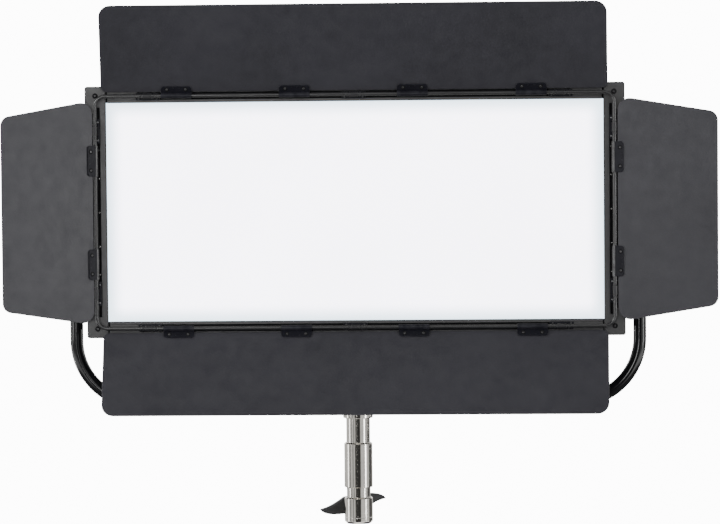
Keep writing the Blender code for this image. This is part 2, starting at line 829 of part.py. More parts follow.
def panel_bore(name, at, radius, head):
    """A cutter for a round hole in the control panel."""
    x, z = at
    start = (x, PANEL_Y - BEYOND, z)
    end = (x, PANEL_BACK_Y + BEYOND, z)
    return cylinder(name, start, end, radius, 20, parent=head)


def make_control_box(head):
    """The electronics box on the back, closed by the panel that carries the controls."""
    low = (-CONTROL_BOX_HALF_WIDTH, CONTROL_BOX_LOW)
    high = (CONTROL_BOX_HALF_WIDTH, CONTROL_BOX_HIGH)
    outside = rectangle(low, high, HOUSING_CORNER)
    inside = rectangle(
        (low[0] + HOUSING_WALL, low[1] + HOUSING_WALL),
        (high[0] - HOUSING_WALL, high[1] - HOUSING_WALL),
        HOUSING_CORNER - HOUSING_WALL,
    )
    case = plate("control_box", outside, BACK_Y, PANEL_Y - GAP, HOUSING_PAINT, head)
    hollow = plate(
        "control_box_hollow", inside, BACK_Y + HOUSING_WALL, PANEL_Y + BEYOND, parent=head
    )
    cut(case, hollow)
    panel = plate("control_panel", outside, PANEL_Y, PANEL_BACK_Y, BLACK_ALUMINIUM, head)
    cut(
        panel,
        panel_slot("display_hole", DISPLAY_AT, DISPLAY_SIZE, head),
        panel_slot("switch_hole", SWITCH_AT, SWITCH_SIZE, head),
        panel_slot("usb_hole", USB_AT, [side + 2 * SOCKET_CLEARANCE for side in USB_SIZE], head),
        panel_bore("dimmer_hole", DIMMER_AT, ENCODER_SHAFT + SOCKET_CLEARANCE, head),
        panel_bore("colour_hole", COLOUR_AT, ENCODER_SHAFT + SOCKET_CLEARANCE, head),
        panel_bore("inlet_hole", INLET_AT, INLET_RADIUS + SOCKET_CLEARANCE, head),
        panel_bore("dmx_in_hole", DMX_IN_AT, DMX_RADIUS + SOCKET_CLEARANCE, head),
        panel_bore("dmx_out_hole", DMX_OUT_AT, DMX_RADIUS + SOCKET_CLEARANCE, head),
    )
    for index, x in enumerate(BUTTON_XS):
        cut(panel, panel_slot(f"button_hole_{index + 1}", (x, BUTTON_Z), BUTTON_SIZE, head))


def make_control_board(head):
    front = BACK_Y + CONTROL_BOARD_STANDOFF
    half_x = CONTROL_BOARD[0] / 2
    half_z = CONTROL_BOARD[1] / 2
    box(
        "control_board",
        (-half_x, front, CONTROL_BOARD_Z - half_z),
        (half_x, front + BOARD_THICKNESS, CONTROL_BOARD_Z + half_z),
        BOARD_GREEN,
        head,
    )


def make_display(head):
    x, z = DISPLAY_AT
    half_x = DISPLAY_SIZE[0] / 2 - GAP
    half_z = DISPLAY_SIZE[1] / 2 - GAP
    back = PANEL_BACK_Y - DISPLAY_SUNK
    low = (x - half_x, back - DISPLAY_DEPTH, z - half_z)
    box("display", low, (x + half_x, back, z + half_z), SCREEN, head)


def make_encoder_knob(name, at, head):
    """A knob on its shaft, which turns about Y."""
    x, z = at
    shoulder = ENCODER_RADIUS - ENCODER_CHAMFER / 2
    profile = [
        (0, ENCODER_HEIGHT),
        (shoulder - ENCODER_CHAMFER, ENCODER_HEIGHT),
        (shoulder, ENCODER_HEIGHT - ENCODER_CHAMFER),
        (ENCODER_RADIUS, ENCODER_LIFT + ENCODER_CHAMFER),
        (ENCODER_RADIUS, ENCODER_LIFT),
        (ENCODER_SHAFT, ENCODER_LIFT),
        (ENCODER_SHAFT, -ENCODER_SHAFT_LENGTH),
        (0, -ENCODER_SHAFT_LENGTH),
    ]
    seat = Matrix.Translation((x, PANEL_BACK_Y, z)) @ turn_about("X", -90)
    turned(name, profile, 20, BLACK_PLASTIC, head, seat)


def make_buttons(head):
    half_x = BUTTON_SIZE[0] / 2 - GAP
    half_z = BUTTON_SIZE[1] / 2 - GAP
    for index, x in enumerate(BUTTON_XS):
        name = f"button_{index + 1}"
        seat = pivot(f"{name}_seat", (x, PANEL_BACK_Y, BUTTON_Z), parent=head)
        low = (-half_x, -BUTTON_DEPTH, -half_z)
        high = (half_x, BUTTON_HEIGHT, half_z)
        box(name, low, high, GREY_PLASTIC, seat)


def make_switch(head):
    """A rocker on a cross axis just inside the panel: its face is a shallow V."""
    x, z = SWITCH_AT
    place_at = (x, PANEL_BACK_Y - SWITCH_AXIS_DEPTH, z)
    axis = pivot("switch_axis", place_at, turn_about("X", SWITCH_REST), head)
    half = SWITCH_SIZE[1] / 2 - SWITCH_END_GAP
    section = [
        (-half, -SWITCH_BASE),
        (half, -SWITCH_BASE),
        (half, SWITCH_TIP),
        (0, SWITCH_MIDDLE),
        (-half, SWITCH_TIP),
    ]
    mesh = flat_mesh("power_switch", section, SWITCH_SIZE[0] - 2 * GAP)
    mesh.transform(turn_about("Y", 90))
    place("power_switch", mesh, RED_PLASTIC, axis)


def make_socket(name, at, radius, recess_radius, recess_depth, finish, head):
    """A round socket with a rim on the panel and a barrel behind it."""
    x, z = at
    rim = radius + SOCKET_RIM
    profile = [
        (0, SOCKET_RIM_HEIGHT - recess_depth),
        (recess_radius, SOCKET_RIM_HEIGHT - recess_depth),
        (recess_radius, SOCKET_RIM_HEIGHT),
        (rim, SOCKET_RIM_HEIGHT),
        (rim, 0),
        (radius, 0),
        (radius, -SOCKET_DEPTH),
        (0, -SOCKET_DEPTH),
    ]
    seat = Matrix.Translation((x, PANEL_BACK_Y + GAP, z)) @ turn_about("X", -90)
    turned(name, profile, 24, finish, head, seat)


def make_usb_port(head):
    x, z = USB_AT
    half_x, half_z = USB_SIZE[0] / 2, USB_SIZE[1] / 2
    mouth_x, mouth_z = half_x - USB_WALL, half_z - USB_WALL
    tongue_x, tongue_z = USB_TONGUE[0] / 2, USB_TONGUE[1] / 2
    front = PANEL_BACK_Y - USB_DEPTH
    port = box(
        "usb_port",
        (x - half_x, front, z - half_z),
        (x + half_x, PANEL_BACK_Y, z + half_z),
        BRIGHT_STEEL,
        head,
    )
    mouth = box(
        "usb_mouth",
        (x - mouth_x, front + USB_FLOOR, z - mouth_z),
        (x + mouth_x, PANEL_BACK_Y + BEYOND, z + mouth_z),
        parent=head,
    )
    tongue = box(
        "usb_tongue",
        (x - tongue_x, front + USB_FLOOR / 2, z + USB_TONGUE_Z - tongue_z),
        (x + tongue_x, PANEL_BACK_Y - OVERLAP, z + USB_TONGUE_Z + tongue_z),
        parent=head,
    )
    cut(port, mouth)
    join(port, tongue)


def make_controls(head):
    make_control_box(head)
    make_control_board(head)
    make_display(head)
    make_encoder_knob("dimmer_knob", DIMMER_AT, head)
    make_encoder_knob("colour_knob", COLOUR_AT, head)
    make_buttons(head)
    make_switch(head)
    make_socket(
        "power_inlet", INLET_AT, INLET_RADIUS, INLET_RECESS, RECESS_DEPTH, GREY_PLASTIC, head
    )
    make_socket(
        "dmx_in", DMX_IN_AT, DMX_RADIUS, DMX_RECESS, RECESS_DEPTH, BLACK_PLASTIC, head
    )
    make_socket(
        "dmx_out", DMX_OUT_AT, DMX_RADIUS, DMX_RECESS, DMX_OUT_RECESS_DEPTH, BLACK_PLASTIC, head
    )
    make_usb_port(head)


# Tilt pivots ---------------------------------------------------------------------------


def make_pivot_side(label, side, head):
    """A boss on the housing, a friction washer, and a knob whose stud passes the yoke's eye."""
    outwards = turn_about("Y", 90 * side)
    boss_start = HOUSING[0] / 2 + GAP
    washer_end = YOKE_HALF_WIDTH - EYE_THICKNESS / 2 - GAP
    washer_start = washer_end - WASHER_THICKNESS
    boss_end = washer_start - GAP
    bore_floor = boss_start + BOSS_FLOOR
    boss = [
        (0, bore_floor),
        (STUD_HOLE, bore_floor),
        (STUD_HOLE, boss_end),
        (BOSS_RADIUS, boss_end),
        (BOSS_RADIUS, boss_start + BOSS_FLANGE + BOSS_FILLET),
        (BOSS_FLANGE_RADIUS, boss_start + BOSS_FLANGE),
        (BOSS_FLANGE_RADIUS, boss_start),
        (0, boss_start),
    ]
    turned(f"pivot_boss_{label}", boss, 24, BLACK_ALUMINIUM, head, outwards)
    washer = [
        (STUD_HOLE, washer_end),
        (WASHER_RADIUS, washer_end),
        (WASHER_RADIUS, washer_start),
        (STUD_HOLE, washer_start),
        (STUD_HOLE, washer_end),
    ]
    turned(f"friction_washer_{label}", washer, 24, FIBRE, head, outwards)
    knob_start = YOKE_HALF_WIDTH + EYE_THICKNESS / 2 + GAP
    knob_end = knob_start + KNOB_LENGTH
    neck_end = knob_start + KNOB_NECK
    knob = [
        (0, knob_end),
        (KNOB_RADIUS - KNOB_CHAMFER, knob_end),
        (KNOB_RADIUS, knob_end - KNOB_CHAMFER),
        (KNOB_RADIUS, neck_end + KNOB_CHAMFER),
        (KNOB_RADIUS - KNOB_CHAMFER, neck_end),
        (KNOB_NECK_RADIUS, neck_end),
        (KNOB_NECK_RADIUS, knob_start),
        (STUD_RADIUS, knob_start),
        (STUD_RADIUS, bore_floor + STUD_END_GAP),
        (0, bore_floor + STUD_END_GAP),
    ]
    turned(f"tilt_knob_{label}", knob, 24, BLACK_PLASTIC, head, outwards)


# Door frame and doors ------------------------------------------------------------------


def foot_seats():
    """Where the rod is held: X runs along the rod there, and Z points away from the light."""
    seats = []
    for side in (-1, 1):
        level = turn_about("Y", 90 - 90 * side)
        upright = turn_about("Y", 90 * side)
        seats += [level @ Matrix.Translation((x, 0, LOOP[1] / 2)) for x in FOOT_XS]
        seats += [upright @ Matrix.Translation((z, 0, LOOP[0] / 2)) for z in FOOT_ZS]
    return seats


def make_door_frame(head):
    """The rod loop, with a foot under each place where it is held."""
    outline = centred_rectangle(LOOP[0] / 2, LOOP[1] / 2, LOOP_CORNER, 6)
    path = [(x, ROD_Y, z) for x, z in outline]
    mesh = tube_mesh("door_frame", path, True, ROD_RADIUS)
    loop = place("door_frame", mesh, BLACK_STEEL, head)
    half = FOOT_LENGTH / 2
    web_half = half - FOOT_WEB_INSET
    seat_y = FACE_Y - GAP
    for index, seat in enumerate(foot_seats()):
        base = box(
            f"foot_{index + 1}",
            (-half, seat_y - FOOT_PLATE, -FOOT_INNER),
            (half, seat_y, FOOT_OUTER),
            parent=head,
            matrix=seat,
        )
        web = box(
            f"foot_web_{index + 1}",
            (-web_half, ROD_Y, -FOOT_WEB / 2),
            (web_half, seat_y - FOOT_PLATE / 2, FOOT_WEB / 2),
            parent=head,
            matrix=seat,
        )
        join(loop, base, web)


def make_leaf(name, size, corner_radii, offset, axis):
    """A sheet that starts beside the rod and is a little narrower at its free edge."""
    width_at_hinge, width_at_edge, depth = size
    corners = [
        (-width_at_hinge / 2, LEAF_START),
        (width_at_hinge / 2, LEAF_START),
        (width_at_edge / 2, depth),
        (-width_at_edge / 2, depth),
    ]
    hinge_radius, edge_radius = corner_radii
    outline = rounded(corners, [hinge_radius, hinge_radius, edge_radius, edge_radius], 5)
    plate(name, outline, -offset - LEAF_THICKNESS, -offset, DOOR_PAINT, axis)


def make_hinge(name, x, plate_y, axis):
    """A sleeve round the rod and a plate against the leaf's inner side."""
    start, end = x - HINGE_LENGTH / 2, x + HINGE_LENGTH / 2
    sleeve = cylinder(name, (start, 0, 0), (end, 0, 0), SLEEVE_RADIUS, 16, BLACK_STEEL, axis)
    corners = [(start, HINGE_START), (end, HINGE_START), (end, HINGE_REACH), (start, HINGE_REACH)]
    radii = [HINGE_SEAM_CORNER, HINGE_SEAM_CORNER, HINGE_CORNER, HINGE_CORNER]
    wing = plate(
        f"{name}_plate", rounded(corners, radii, 3), plate_y - HINGE_PLATE, plate_y, parent=axis
    )
    bore = cylinder(
        f"{name}_bore", (start - BEYOND, 0, 0), (end + BEYOND, 0, 0), SLEEVE_BORE, 12, parent=axis
    )
    join(sleeve, wing)
    cut(sleeve, bore)


def make_door(label, at, stand, size, corner_radii, offset, hinge_xs, head):
    """A leaf and its hinges, drawn with the rod along X and the leaf up Z, then stood in place."""
    axis = pivot(f"{label}_door_axis", at, stand, head)
    make_leaf(f"{label}_leaf", size, corner_radii, offset, axis)
    plate_y = -offset - LEAF_THICKNESS - GAP
    for index, x in enumerate(hinge_xs):
        make_hinge(f"{label}_hinge_{index + 1}", x, plate_y, axis)


def make_doors(head):
    wide = (WIDE_LEAF, WIDE_CORNERS, WIDE_OFFSET, WIDE_HINGE_XS, head)
    tall = (TALL_LEAF, TALL_CORNERS, TALL_OFFSET, TALL_HINGE_XS, head)
    top = (0, ROD_Y, LOOP[1] / 2)
    bottom = (0, ROD_Y, -LOOP[1] / 2)
    left = (-LOOP[0] / 2, ROD_Y, 0)
    right = (LOOP[0] / 2, ROD_Y, 0)
    make_door("top", top, turn_about("X", TOP_LEAN), *wide)
    make_door("bottom", bottom, turn_about("X", -BOTTOM_LEAN) @ turn_about("Y", 180), *wide)
    make_door("left", left, turn_about("Z", LEFT_LEAN) @ turn_about("Y", -90), *tall)
    make_door("right", right, turn_about("Z", -RIGHT_LEAN) @ turn_about("Y", 90), *tall)


def make_yoke_group():
    make_yoke()
    make_saddle()
    make_bolt()
    make_spigot()
    make_wing()


def make_head():
    head = pivot("tilt_axis", (0, 0, TILT_Z))
    make_cheek("cheek_left", -1, head)
    make_cheek("cheek_right", 1, head)
    make_rail("rail_top", 1, head)
    make_rail("rail_bottom", -1, head)
    make_light_source(head)
    make_housing(head)
    make_electronics(head)
    make_heatsinks(head)
    make_safety_eye(head)
    make_controls(head)
    make_pivot_side("left", -1, head)
    make_pivot_side("right", 1, head)
    make_door_frame(head)
    make_doors(head)


make_yoke_group()
make_head()
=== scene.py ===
"""Looks for the LED panel light: the visible pieces, their materials, the light and the camera.

+Z up, in the row frame, and the light shines towards -Y. Pieces are drawn in millimetres, and
finish_mesh() turns them into metres. The head is drawn about its own centre, on the tilt axis,
and lifted by HEAD. A door is drawn with its rod along X and its leaf up Z, and stood in place by
its own matrix. The studio and the textures are in metres.
"""

import json
import math

import bmesh
import bpy
from mathutils import Matrix, Vector
from mathutils.geometry import tessellate_polygon


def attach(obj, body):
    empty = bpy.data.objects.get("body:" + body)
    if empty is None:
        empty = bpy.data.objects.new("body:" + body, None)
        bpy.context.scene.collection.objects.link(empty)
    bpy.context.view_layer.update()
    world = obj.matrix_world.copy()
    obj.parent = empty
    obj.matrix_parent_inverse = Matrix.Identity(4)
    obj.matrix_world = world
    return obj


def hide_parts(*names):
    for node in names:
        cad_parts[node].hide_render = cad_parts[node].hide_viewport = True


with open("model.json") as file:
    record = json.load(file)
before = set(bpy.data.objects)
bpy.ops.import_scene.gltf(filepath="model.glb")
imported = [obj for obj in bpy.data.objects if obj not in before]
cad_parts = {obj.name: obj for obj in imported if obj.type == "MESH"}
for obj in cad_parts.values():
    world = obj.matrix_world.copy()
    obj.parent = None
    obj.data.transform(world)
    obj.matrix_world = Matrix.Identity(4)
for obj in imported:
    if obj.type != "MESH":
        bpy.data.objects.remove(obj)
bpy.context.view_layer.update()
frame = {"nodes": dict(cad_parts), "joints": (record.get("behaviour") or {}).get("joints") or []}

MM = 0.001
MERGE = 1e-4  # points nearer than this become one
GAP = 0.3  # between two pieces that don't touch
SEAM = 1.4  # between a rail and a cheek, filled with dark painted shade
LAP = 0.05  # how deep one mesh of a piece reaches into the next

# Front frame
TILT_Z = 210
APERTURE = (494.5, 218)
FRAME = (537, 251.4)
FACE_Y = -38
LIP_BACK_Y = -35.4
FRAME_BACK_Y = -24
DIFFUSER_OVERLAP = 4
GROOVE_DEPTH = 1.6
GROOVE_HALF = 216  # the rails' grooves are filled beyond this
CHEEK_GROOVE = 7.6  # from the opening to the middle of a cheek's groove
FACE_CORNERS = [0.4, 2.5, 2.5, 0.4]

# Housing
HOUSING = (526, 240)
HOUSING_CORNER = 4
HOUSING_WALL = 1.6
HOUSING_FRONT_Y = -23.7
HOUSING_BACK_Y = 22
PLATE_BACK_Y = 24.3
BACK_Y = 24.6
PANEL_Y = 58.9
PANEL_BACK_Y = 60.9

# Door frame
LOOP = (515.2, 231.4)
LOOP_CORNER = 10.5
ROD_Y = -44.5
ROD_RADIUS = 1.9

# Yoke, spigot and wing
YOKE_HALF_WIDTH = 284.2
YOKE_TUBE_RADIUS = 6.6
YOKE_BOTTOM_Z = 16
YOKE_BEND = 63.5
EYE_THICKNESS = 11
WING_Z = -90.2
WING_TURN = 16
WING_TILT = 7.5

HEAD = Matrix.Translation((0, 0, TILT_Z))
CORNERS = ((-1, -1), (-1, 1), (1, -1), (1, 1))  # of the head, as signs of X and Z


# Meshes --------------------------------------------------------------------------------
#
# Each function below returns a bmesh with one material, which assemble() joins into a piece.
# A float on each vertex, "edge", is 1 where a rounded edge is proudest: the paint is lightened there,
# partly as wear and partly as a painted highlight.


def turn_about(axis, degrees):
    return Matrix.Rotation(math.radians(degrees), 4, axis)


def move(x, y, z):
    return Matrix.Translation((x, y, z))


def axes(right, up, out):
    """The matrix that turns a drawing's X, Y and Z into these directions."""
    return Matrix((right, up, out)).transposed().to_4x4()


ON_FRONT = axes((1, 0, 0), (0, 0, 1), (0, -1, 0))  # drawn in X and Z, rising towards -Y
ON_BACK = axes((-1, 0, 0), (0, 0, 1), (0, 1, 0))  # seen from behind, rising towards +Y
IN_BACK_FACE = axes((1, 0, 0), (0, 0, 1), (0, 1, 0))  # X and Z as they are, rising towards +Y
ALONG_X = axes((0, 1, 0), (0, 0, 1), (1, 0, 0))  # a section in Y and Z, run along X
ALONG_Z = axes((1, 0, 0), (0, 1, 0), (0, 0, 1))  # a section in X and Y, run along Z
ALONG_Y = axes((0, 0, 1), (1, 0, 0), (0, 1, 0))  # a section in Z and X, run along Y


def arc(centre, radius, start, end, steps):
    """Points on an arc, with its angles in degrees."""
    points = []
    for step in range(steps + 1):
        angle = math.radians(start + (end - start) * step / steps)
        points.append((centre[0] + radius * math.cos(angle), centre[1] + radius * math.sin(angle)))
    return points


def circle(radius, steps=32, centre=(0, 0)):
    return arc(centre, radius, 0, 360 * (steps - 1) / steps, steps - 1)


def rounded(corners, radii, steps=6, closed=True):
    """An outline through corners, each turned into an arc of its own radius."""
    count = len(corners)
    outline = []
    for index, corner in enumerate(corners):
        here = Vector(corner)
        radius = radii[index] if isinstance(radii, (list, tuple)) else radii
        at_end = not closed and index in (0, count - 1)
        if at_end or not radius:
            outline.append(tuple(here))
            continue
        back = Vector(corners[index - 1]) - here
        on = Vector(corners[(index + 1) % count]) - here
        room = 0.48 * min(back.length, on.length)
        back.normalize()
        on.normalize()
        half = back.angle(on) / 2
        if half > math.radians(88):
            outline.append(tuple(here))
            continue
        reach = min(radius / math.tan(half), room)
        bend = reach * math.tan(half)
        centre = here + (back + on).normalized() * bend / math.sin(half)
        start = here + back * reach - centre
        swing = start.angle_signed(here + on * reach - centre)
        for step in range(steps + 1):
            outline.append(tuple(centre + Matrix.Rotation(-swing * step / steps, 2) @ start))
    return outline


def rectangle(width, height, radius=0, centre=(0, 0), steps=6):
    x, y = centre
    low, high = (x - width / 2, y - height / 2), (x + width / 2, y + height / 2)
    return rounded([low, (high[0], low[1]), high, (low[0], high[1])], radius, steps)


def signed_area(outline):
    return sum(a[0] * b[1] - b[0] * a[1] for a, b in zip(outline, outline[1:] + outline[:1]))


def inset(outline, distance):
    """The outline moved to the left of its own direction, with mitred corners."""
    moved = []
    count = len(outline)
    for index, point in enumerate(outline):
        here = Vector(point)
        before = (here - Vector(outline[index - 1])).normalized()
        after = (Vector(outline[(index + 1) % count]) - here).normalized()
        side = Vector((-before.y - after.y, before.x + after.x))
        moved.append(here + side * distance / max(1 + before.dot(after), 0.2))
    return moved


def start_mesh():
    bm = bmesh.new()
    bm.verts.layers.float.new("edge")
    return bm


def finish_mesh(bm, look, matrix):
    """Joins points that meet, stands the drawing in its place and turns it into metres."""
    bmesh.ops.remove_doubles(bm, verts=bm.verts, dist=MERGE)
    bm.transform(Matrix.Scale(MM, 4) @ matrix)
    bmesh.ops.recalc_face_normals(bm, faces=bm.faces)
    return bm, look


def join_rings(bm, below, above):
    count = len(below)
    for index in range(count):
        on = (index + 1) % count
        bm.faces.new((below[index], below[on], above[on], above[index]))


def bevel_levels(bevel, end, inwards, steps):
    """How far in, how high and how lightened each ring of a rounded edge is, as wear and as a painted
    highlight, from the end inwards.
    """
    if not bevel:
        return [(0, end, 0)]
    levels = []
    for step in range(steps + 1):
        angle = math.radians(90 * step / steps)
        depth = bevel * (1 - math.cos(angle))
        levels.append((bevel * (1 - math.sin(angle)), end + inwards * depth, math.sin(2 * angle)))
    return levels


def extrude(outline, low, high, look, matrix=Matrix(), bevel=0.3, holes=(), steps=3):
    """A flat outline in X and Y with holes, from low to high in Z, with rounded edges.

    The bevel is one size for both ends, or a pair for the low and the high end.
    """
    bm = start_mesh()
    low_bevel, high_bevel = bevel if isinstance(bevel, tuple) else (bevel, bevel)
    edge = bm.verts.layers.float["edge"]
    outlines = [outline if signed_area(outline) > 0 else outline[::-1]]
    outlines += [hole if signed_area(hole) < 0 else hole[::-1] for hole in holes]
    levels = bevel_levels(low_bevel, low, 1, steps) + bevel_levels(high_bevel, high, -1, steps)[::-1]
    caps = [[], []]
    for shape in outlines:
        rings = []
        for shrink, z, marked in levels:
            ring = [bm.verts.new((*point, z)) for point in inset(shape, shrink)]
            for vert in ring:
                vert[edge] = marked
            rings.append(ring)
        for below, above in zip(rings, rings[1:]):
            join_rings(bm, below, above)
        caps[0].append(rings[0])
        caps[1].append(rings[-1])
    for cap in caps:
        verts = [vert for ring in cap for vert in ring]
        for corners in tessellate_polygon([[vert.co * MM for vert in ring] for ring in cap]):
            bm.faces.new([verts[corner] for corner in corners])
    return finish_mesh(bm, look, matrix)


def lathe(profile, look, matrix=Matrix(), segments=64, fillet=0, shape=None):
    """(radius, height) points turned about Z. shape(angle, height) scales the radius."""
    profile = rounded(profile, fillet, 4, closed=False) if fillet else profile
    bm = start_mesh()
    edge = bm.verts.layers.float["edge"]
    rings = []
    for index, (radius, height) in enumerate(profile):
        if radius < MERGE:
            rings.append([bm.verts.new((0, 0, height))])
            continue
        ring = []
        for segment in range(segments):
            angle = 2 * math.pi * segment / segments
            reach = radius * (shape(angle, height) if shape else 1)
            ring.append(bm.verts.new((reach * math.cos(angle), reach * math.sin(angle), height)))
        rings.append(ring)
        if 0 < index < len(profile) - 1:
            before = Vector(profile[index]) - Vector(profile[index - 1])
            after = Vector(profile[index + 1]) - Vector(profile[index])
            if before.length > 0 and after.length > 0 and before.angle(after) > 0.15:
                for vert in ring:
                    vert[edge] = 1
    for below, above in zip(rings, rings[1:]):
        if len(below) > 1 and len(above) > 1:
            join_rings(bm, below, above)
        elif len(below) != len(above):
            tip, ring = (below[0], above) if len(below) == 1 else (above[0], below)
            for index in range(segments):
                bm.faces.new((tip, ring[index], ring[(index + 1) % segments]))
    return finish_mesh(bm, look, matrix)


def tube(path, radius, look, matrix=Matrix(), closed=False, sides=24):
    """A round bar along a path, with its ends capped unless the path is closed."""
    bm = start_mesh()
    points = [Vector(point) for point in path]
    count = len(points)
    rings = []
    side = None
    for index, here in enumerate(points):
        before = points[index - 1] if closed or index else here
        after = points[(index + 1) % count] if closed or index < count - 1 else here
        along = (after - before).normalized()
        if side is None:
            side = along.orthogonal().normalized()
        side = (side - along * side.dot(along)).normalized()
        across = along.cross(side)
        ring = []
        for step in range(sides):
            angle = 2 * math.pi * step / sides
            reach = side * math.cos(angle) + across * math.sin(angle)
            ring.append(bm.verts.new(here + reach * radius))
        rings.append(ring)
    for below, above in zip(rings, rings[1:] + (rings[:1] if closed else [])):
        join_rings(bm, below, above)
    if not closed:
        bm.faces.new(rings[0])
        bm.faces.new(rings[-1])
    return finish_mesh(bm, look, matrix)


def ring_section(inner, outer, low, high):
    """The closed section of a washer or a sleeve, for lathe()."""
    return [(inner, low), (outer, low), (outer, high), (inner, high), (inner, low)]


def polygon_factor(sides):
    """A radius factor that turns a circle into a polygon of the same corner radius."""
    step = 2 * math.pi / sides

    def factor(angle, _height):
        return math.cos(step / 2) / math.cos((angle % step) - step / 2)

    return factor


def screw(radius, height, look, matrix, socket=6, deep=0.55):
    """A domed screw head with a recess of that many sides, rising from Z = 0."""
    rim = ((1, 0), (1, 0.35), (0.93, 0.72), (0.75, 0.94), (0.56, 1))
    bm = start_mesh()
    edge = bm.verts.layers.float["edge"]
    factor = polygon_factor(socket)
    rings = []
    segments = 36

    def ring_at(reach, rise, marked, shape=None):
        ring = []
        for segment in range(segments):
            angle = 2 * math.pi * segment / segments
            distance = radius * reach * (shape(angle, 0) if shape else 1)
            spot = (distance * math.cos(angle), distance * math.sin(angle), height * rise)
            vert = bm.verts.new(spot)
            vert[edge] = marked
            ring.append(vert)
        rings.append(ring)

    for reach, rise in rim:
        ring_at(reach, rise, 0.6)
    ring_at(0.50, 0.98, 1, factor)
    ring_at(0.46, 1 - deep, 0, factor)
    ring_at(0.10, 1 - deep * 1.15, 0)
    for below, above in zip(rings, rings[1:]):
        join_rings(bm, below, above)
    bm.faces.new(rings[0])
    bm.faces.new(rings[-1])
    return finish_mesh(bm, look, matrix)


def assemble(name, body, meshes, stands_for=(), smooth=35):
    """Joins meshes into one piece that rides on a body and stands for CAD nodes."""
    mesh = bpy.data.meshes.new(name)
    whole = start_mesh()
    edge_layer = whole.verts.layers.float["edge"]
    looks = []
    for bm, look in meshes:
        if look not in looks:
            looks.append(look)
        source = bm.verts.layers.float["edge"]
        copies = {}
        for vert in bm.verts:
            copy = whole.verts.new(vert.co)
            copy[edge_layer] = vert[source]
            copies[vert] = copy
        for face in bm.faces:
            made = whole.faces.new([copies[vert] for vert in face.verts])
            made.material_index = looks.index(look)
        bm.free()
    whole.to_mesh(mesh)
    whole.free()
    for look in looks:
        mesh.materials.append(look)
    mesh.shade_smooth()
    mesh.set_sharp_from_angle(angle=math.radians(smooth))
    piece = bpy.data.objects.new(name, mesh)
    bpy.context.scene.collection.objects.link(piece)
    weighted = piece.modifiers.new("weighted", "WEIGHTED_NORMAL")
    weighted.keep_sharp = True
    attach(piece, body)
    if stands_for:
        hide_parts(*stands_for)
    return piece


# Materials -----------------------------------------------------------------------------


def feed(tree, node, inputs):
    """Gives each input its value, or links it to the output of another node."""
    for key, value in inputs.items():
        if isinstance(value, bpy.types.NodeSocket):
            tree.links.new(value, node.inputs[key])
        else:
            node.inputs[key].default_value = value


def add_node(tree, kind, inputs=None, **settings):
    made = tree.nodes.new(kind)
    for key, value in settings.items():
        setattr(made, key, value)
    feed(tree, made, inputs or {})
    return made


def position(tree, stretch=(1, 1, 1)):
    """The place on the piece, in metres, stretched along each axis."""
    coordinates = add_node(tree, "ShaderNodeTexCoord").outputs["Object"]
    scaled = add_node(tree, "ShaderNodeMapping", {"Vector": coordinates, "Scale": stretch})
    return scaled.outputs["Vector"]


def noise(tree, scale, detail=2.0, stretch=(1, 1, 1), roughness=0.5):
    inputs = {"Scale": scale, "Detail": detail, "Roughness": roughness}
    inputs["Vector"] = position(tree, stretch)
    return add_node(tree, "ShaderNodeTexNoise", inputs).outputs["Fac"]


def spread(tree, value, low, high, start=0.3, end=0.7, **settings):
    """Turns start to end into low to high, and stops at both."""
    inputs = {"Value": value, "From Min": start, "From Max": end, "To Min": low, "To Max": high}
    return add_node(tree, "ShaderNodeMapRange", inputs, **settings).outputs["Result"]


def fade(tree, distance, start, end):
    """1 up to start, falling smoothly to 0 at end."""
    return spread(tree, distance, 1, 0, start, end, interpolation_type="SMOOTHSTEP")


def maths(tree, operation, *values):
    inputs = dict(enumerate(values))
    return add_node(tree, "ShaderNodeMath", inputs, operation=operation).outputs[0]


def multiply(tree, first, second):
    return maths(tree, "MULTIPLY", first, second)


def distance_from(tree, value, middle):
    return maths(tree, "ABSOLUTE", maths(tree, "SUBTRACT", value, middle))


def blend_colours(tree, factor, first, second):
    mix = add_node(tree, "ShaderNodeMix", data_type="RGBA")
    for name, value in (("Factor_Float", factor), ("A_Color", first), ("B_Color", second)):
        socket = next(s for s in mix.inputs if s.identifier == name)
        if isinstance(value, bpy.types.NodeSocket):
            tree.links.new(value, socket)
        elif name == "Factor_Float":
            socket.default_value = value
        else:
            socket.default_value = (*value, 1)
    return next(s for s in mix.outputs if s.identifier == "Result_Color")


def bump(tree, height, depth, strength=1.0):
    """Relief of that depth, in millimetres."""
    inputs = {"Height": height, "Distance": depth * MM, "Strength": strength}
    return add_node(tree, "ShaderNodeBump", inputs).outputs["Normal"]


def edge_wear_and_highlight(tree, amount):
    """How much the paint is lightened, partly as wear and partly as a painted highlight: strongest in
    patches along the proud edges.
    """
    proud = add_node(tree, "ShaderNodeAttribute", attribute_name="edge").outputs["Fac"]
    patches = spread(tree, noise(tree, 160, 3), 0.15, 1.0, 0.35, 0.65)
    return multiply(tree, multiply(tree, proud, patches), amount)


def shader_of(name):
    look = bpy.data.materials.new(name)
    look.use_nodes = True
    tree = look.node_tree
    return look, tree, tree.nodes["Principled BSDF"]


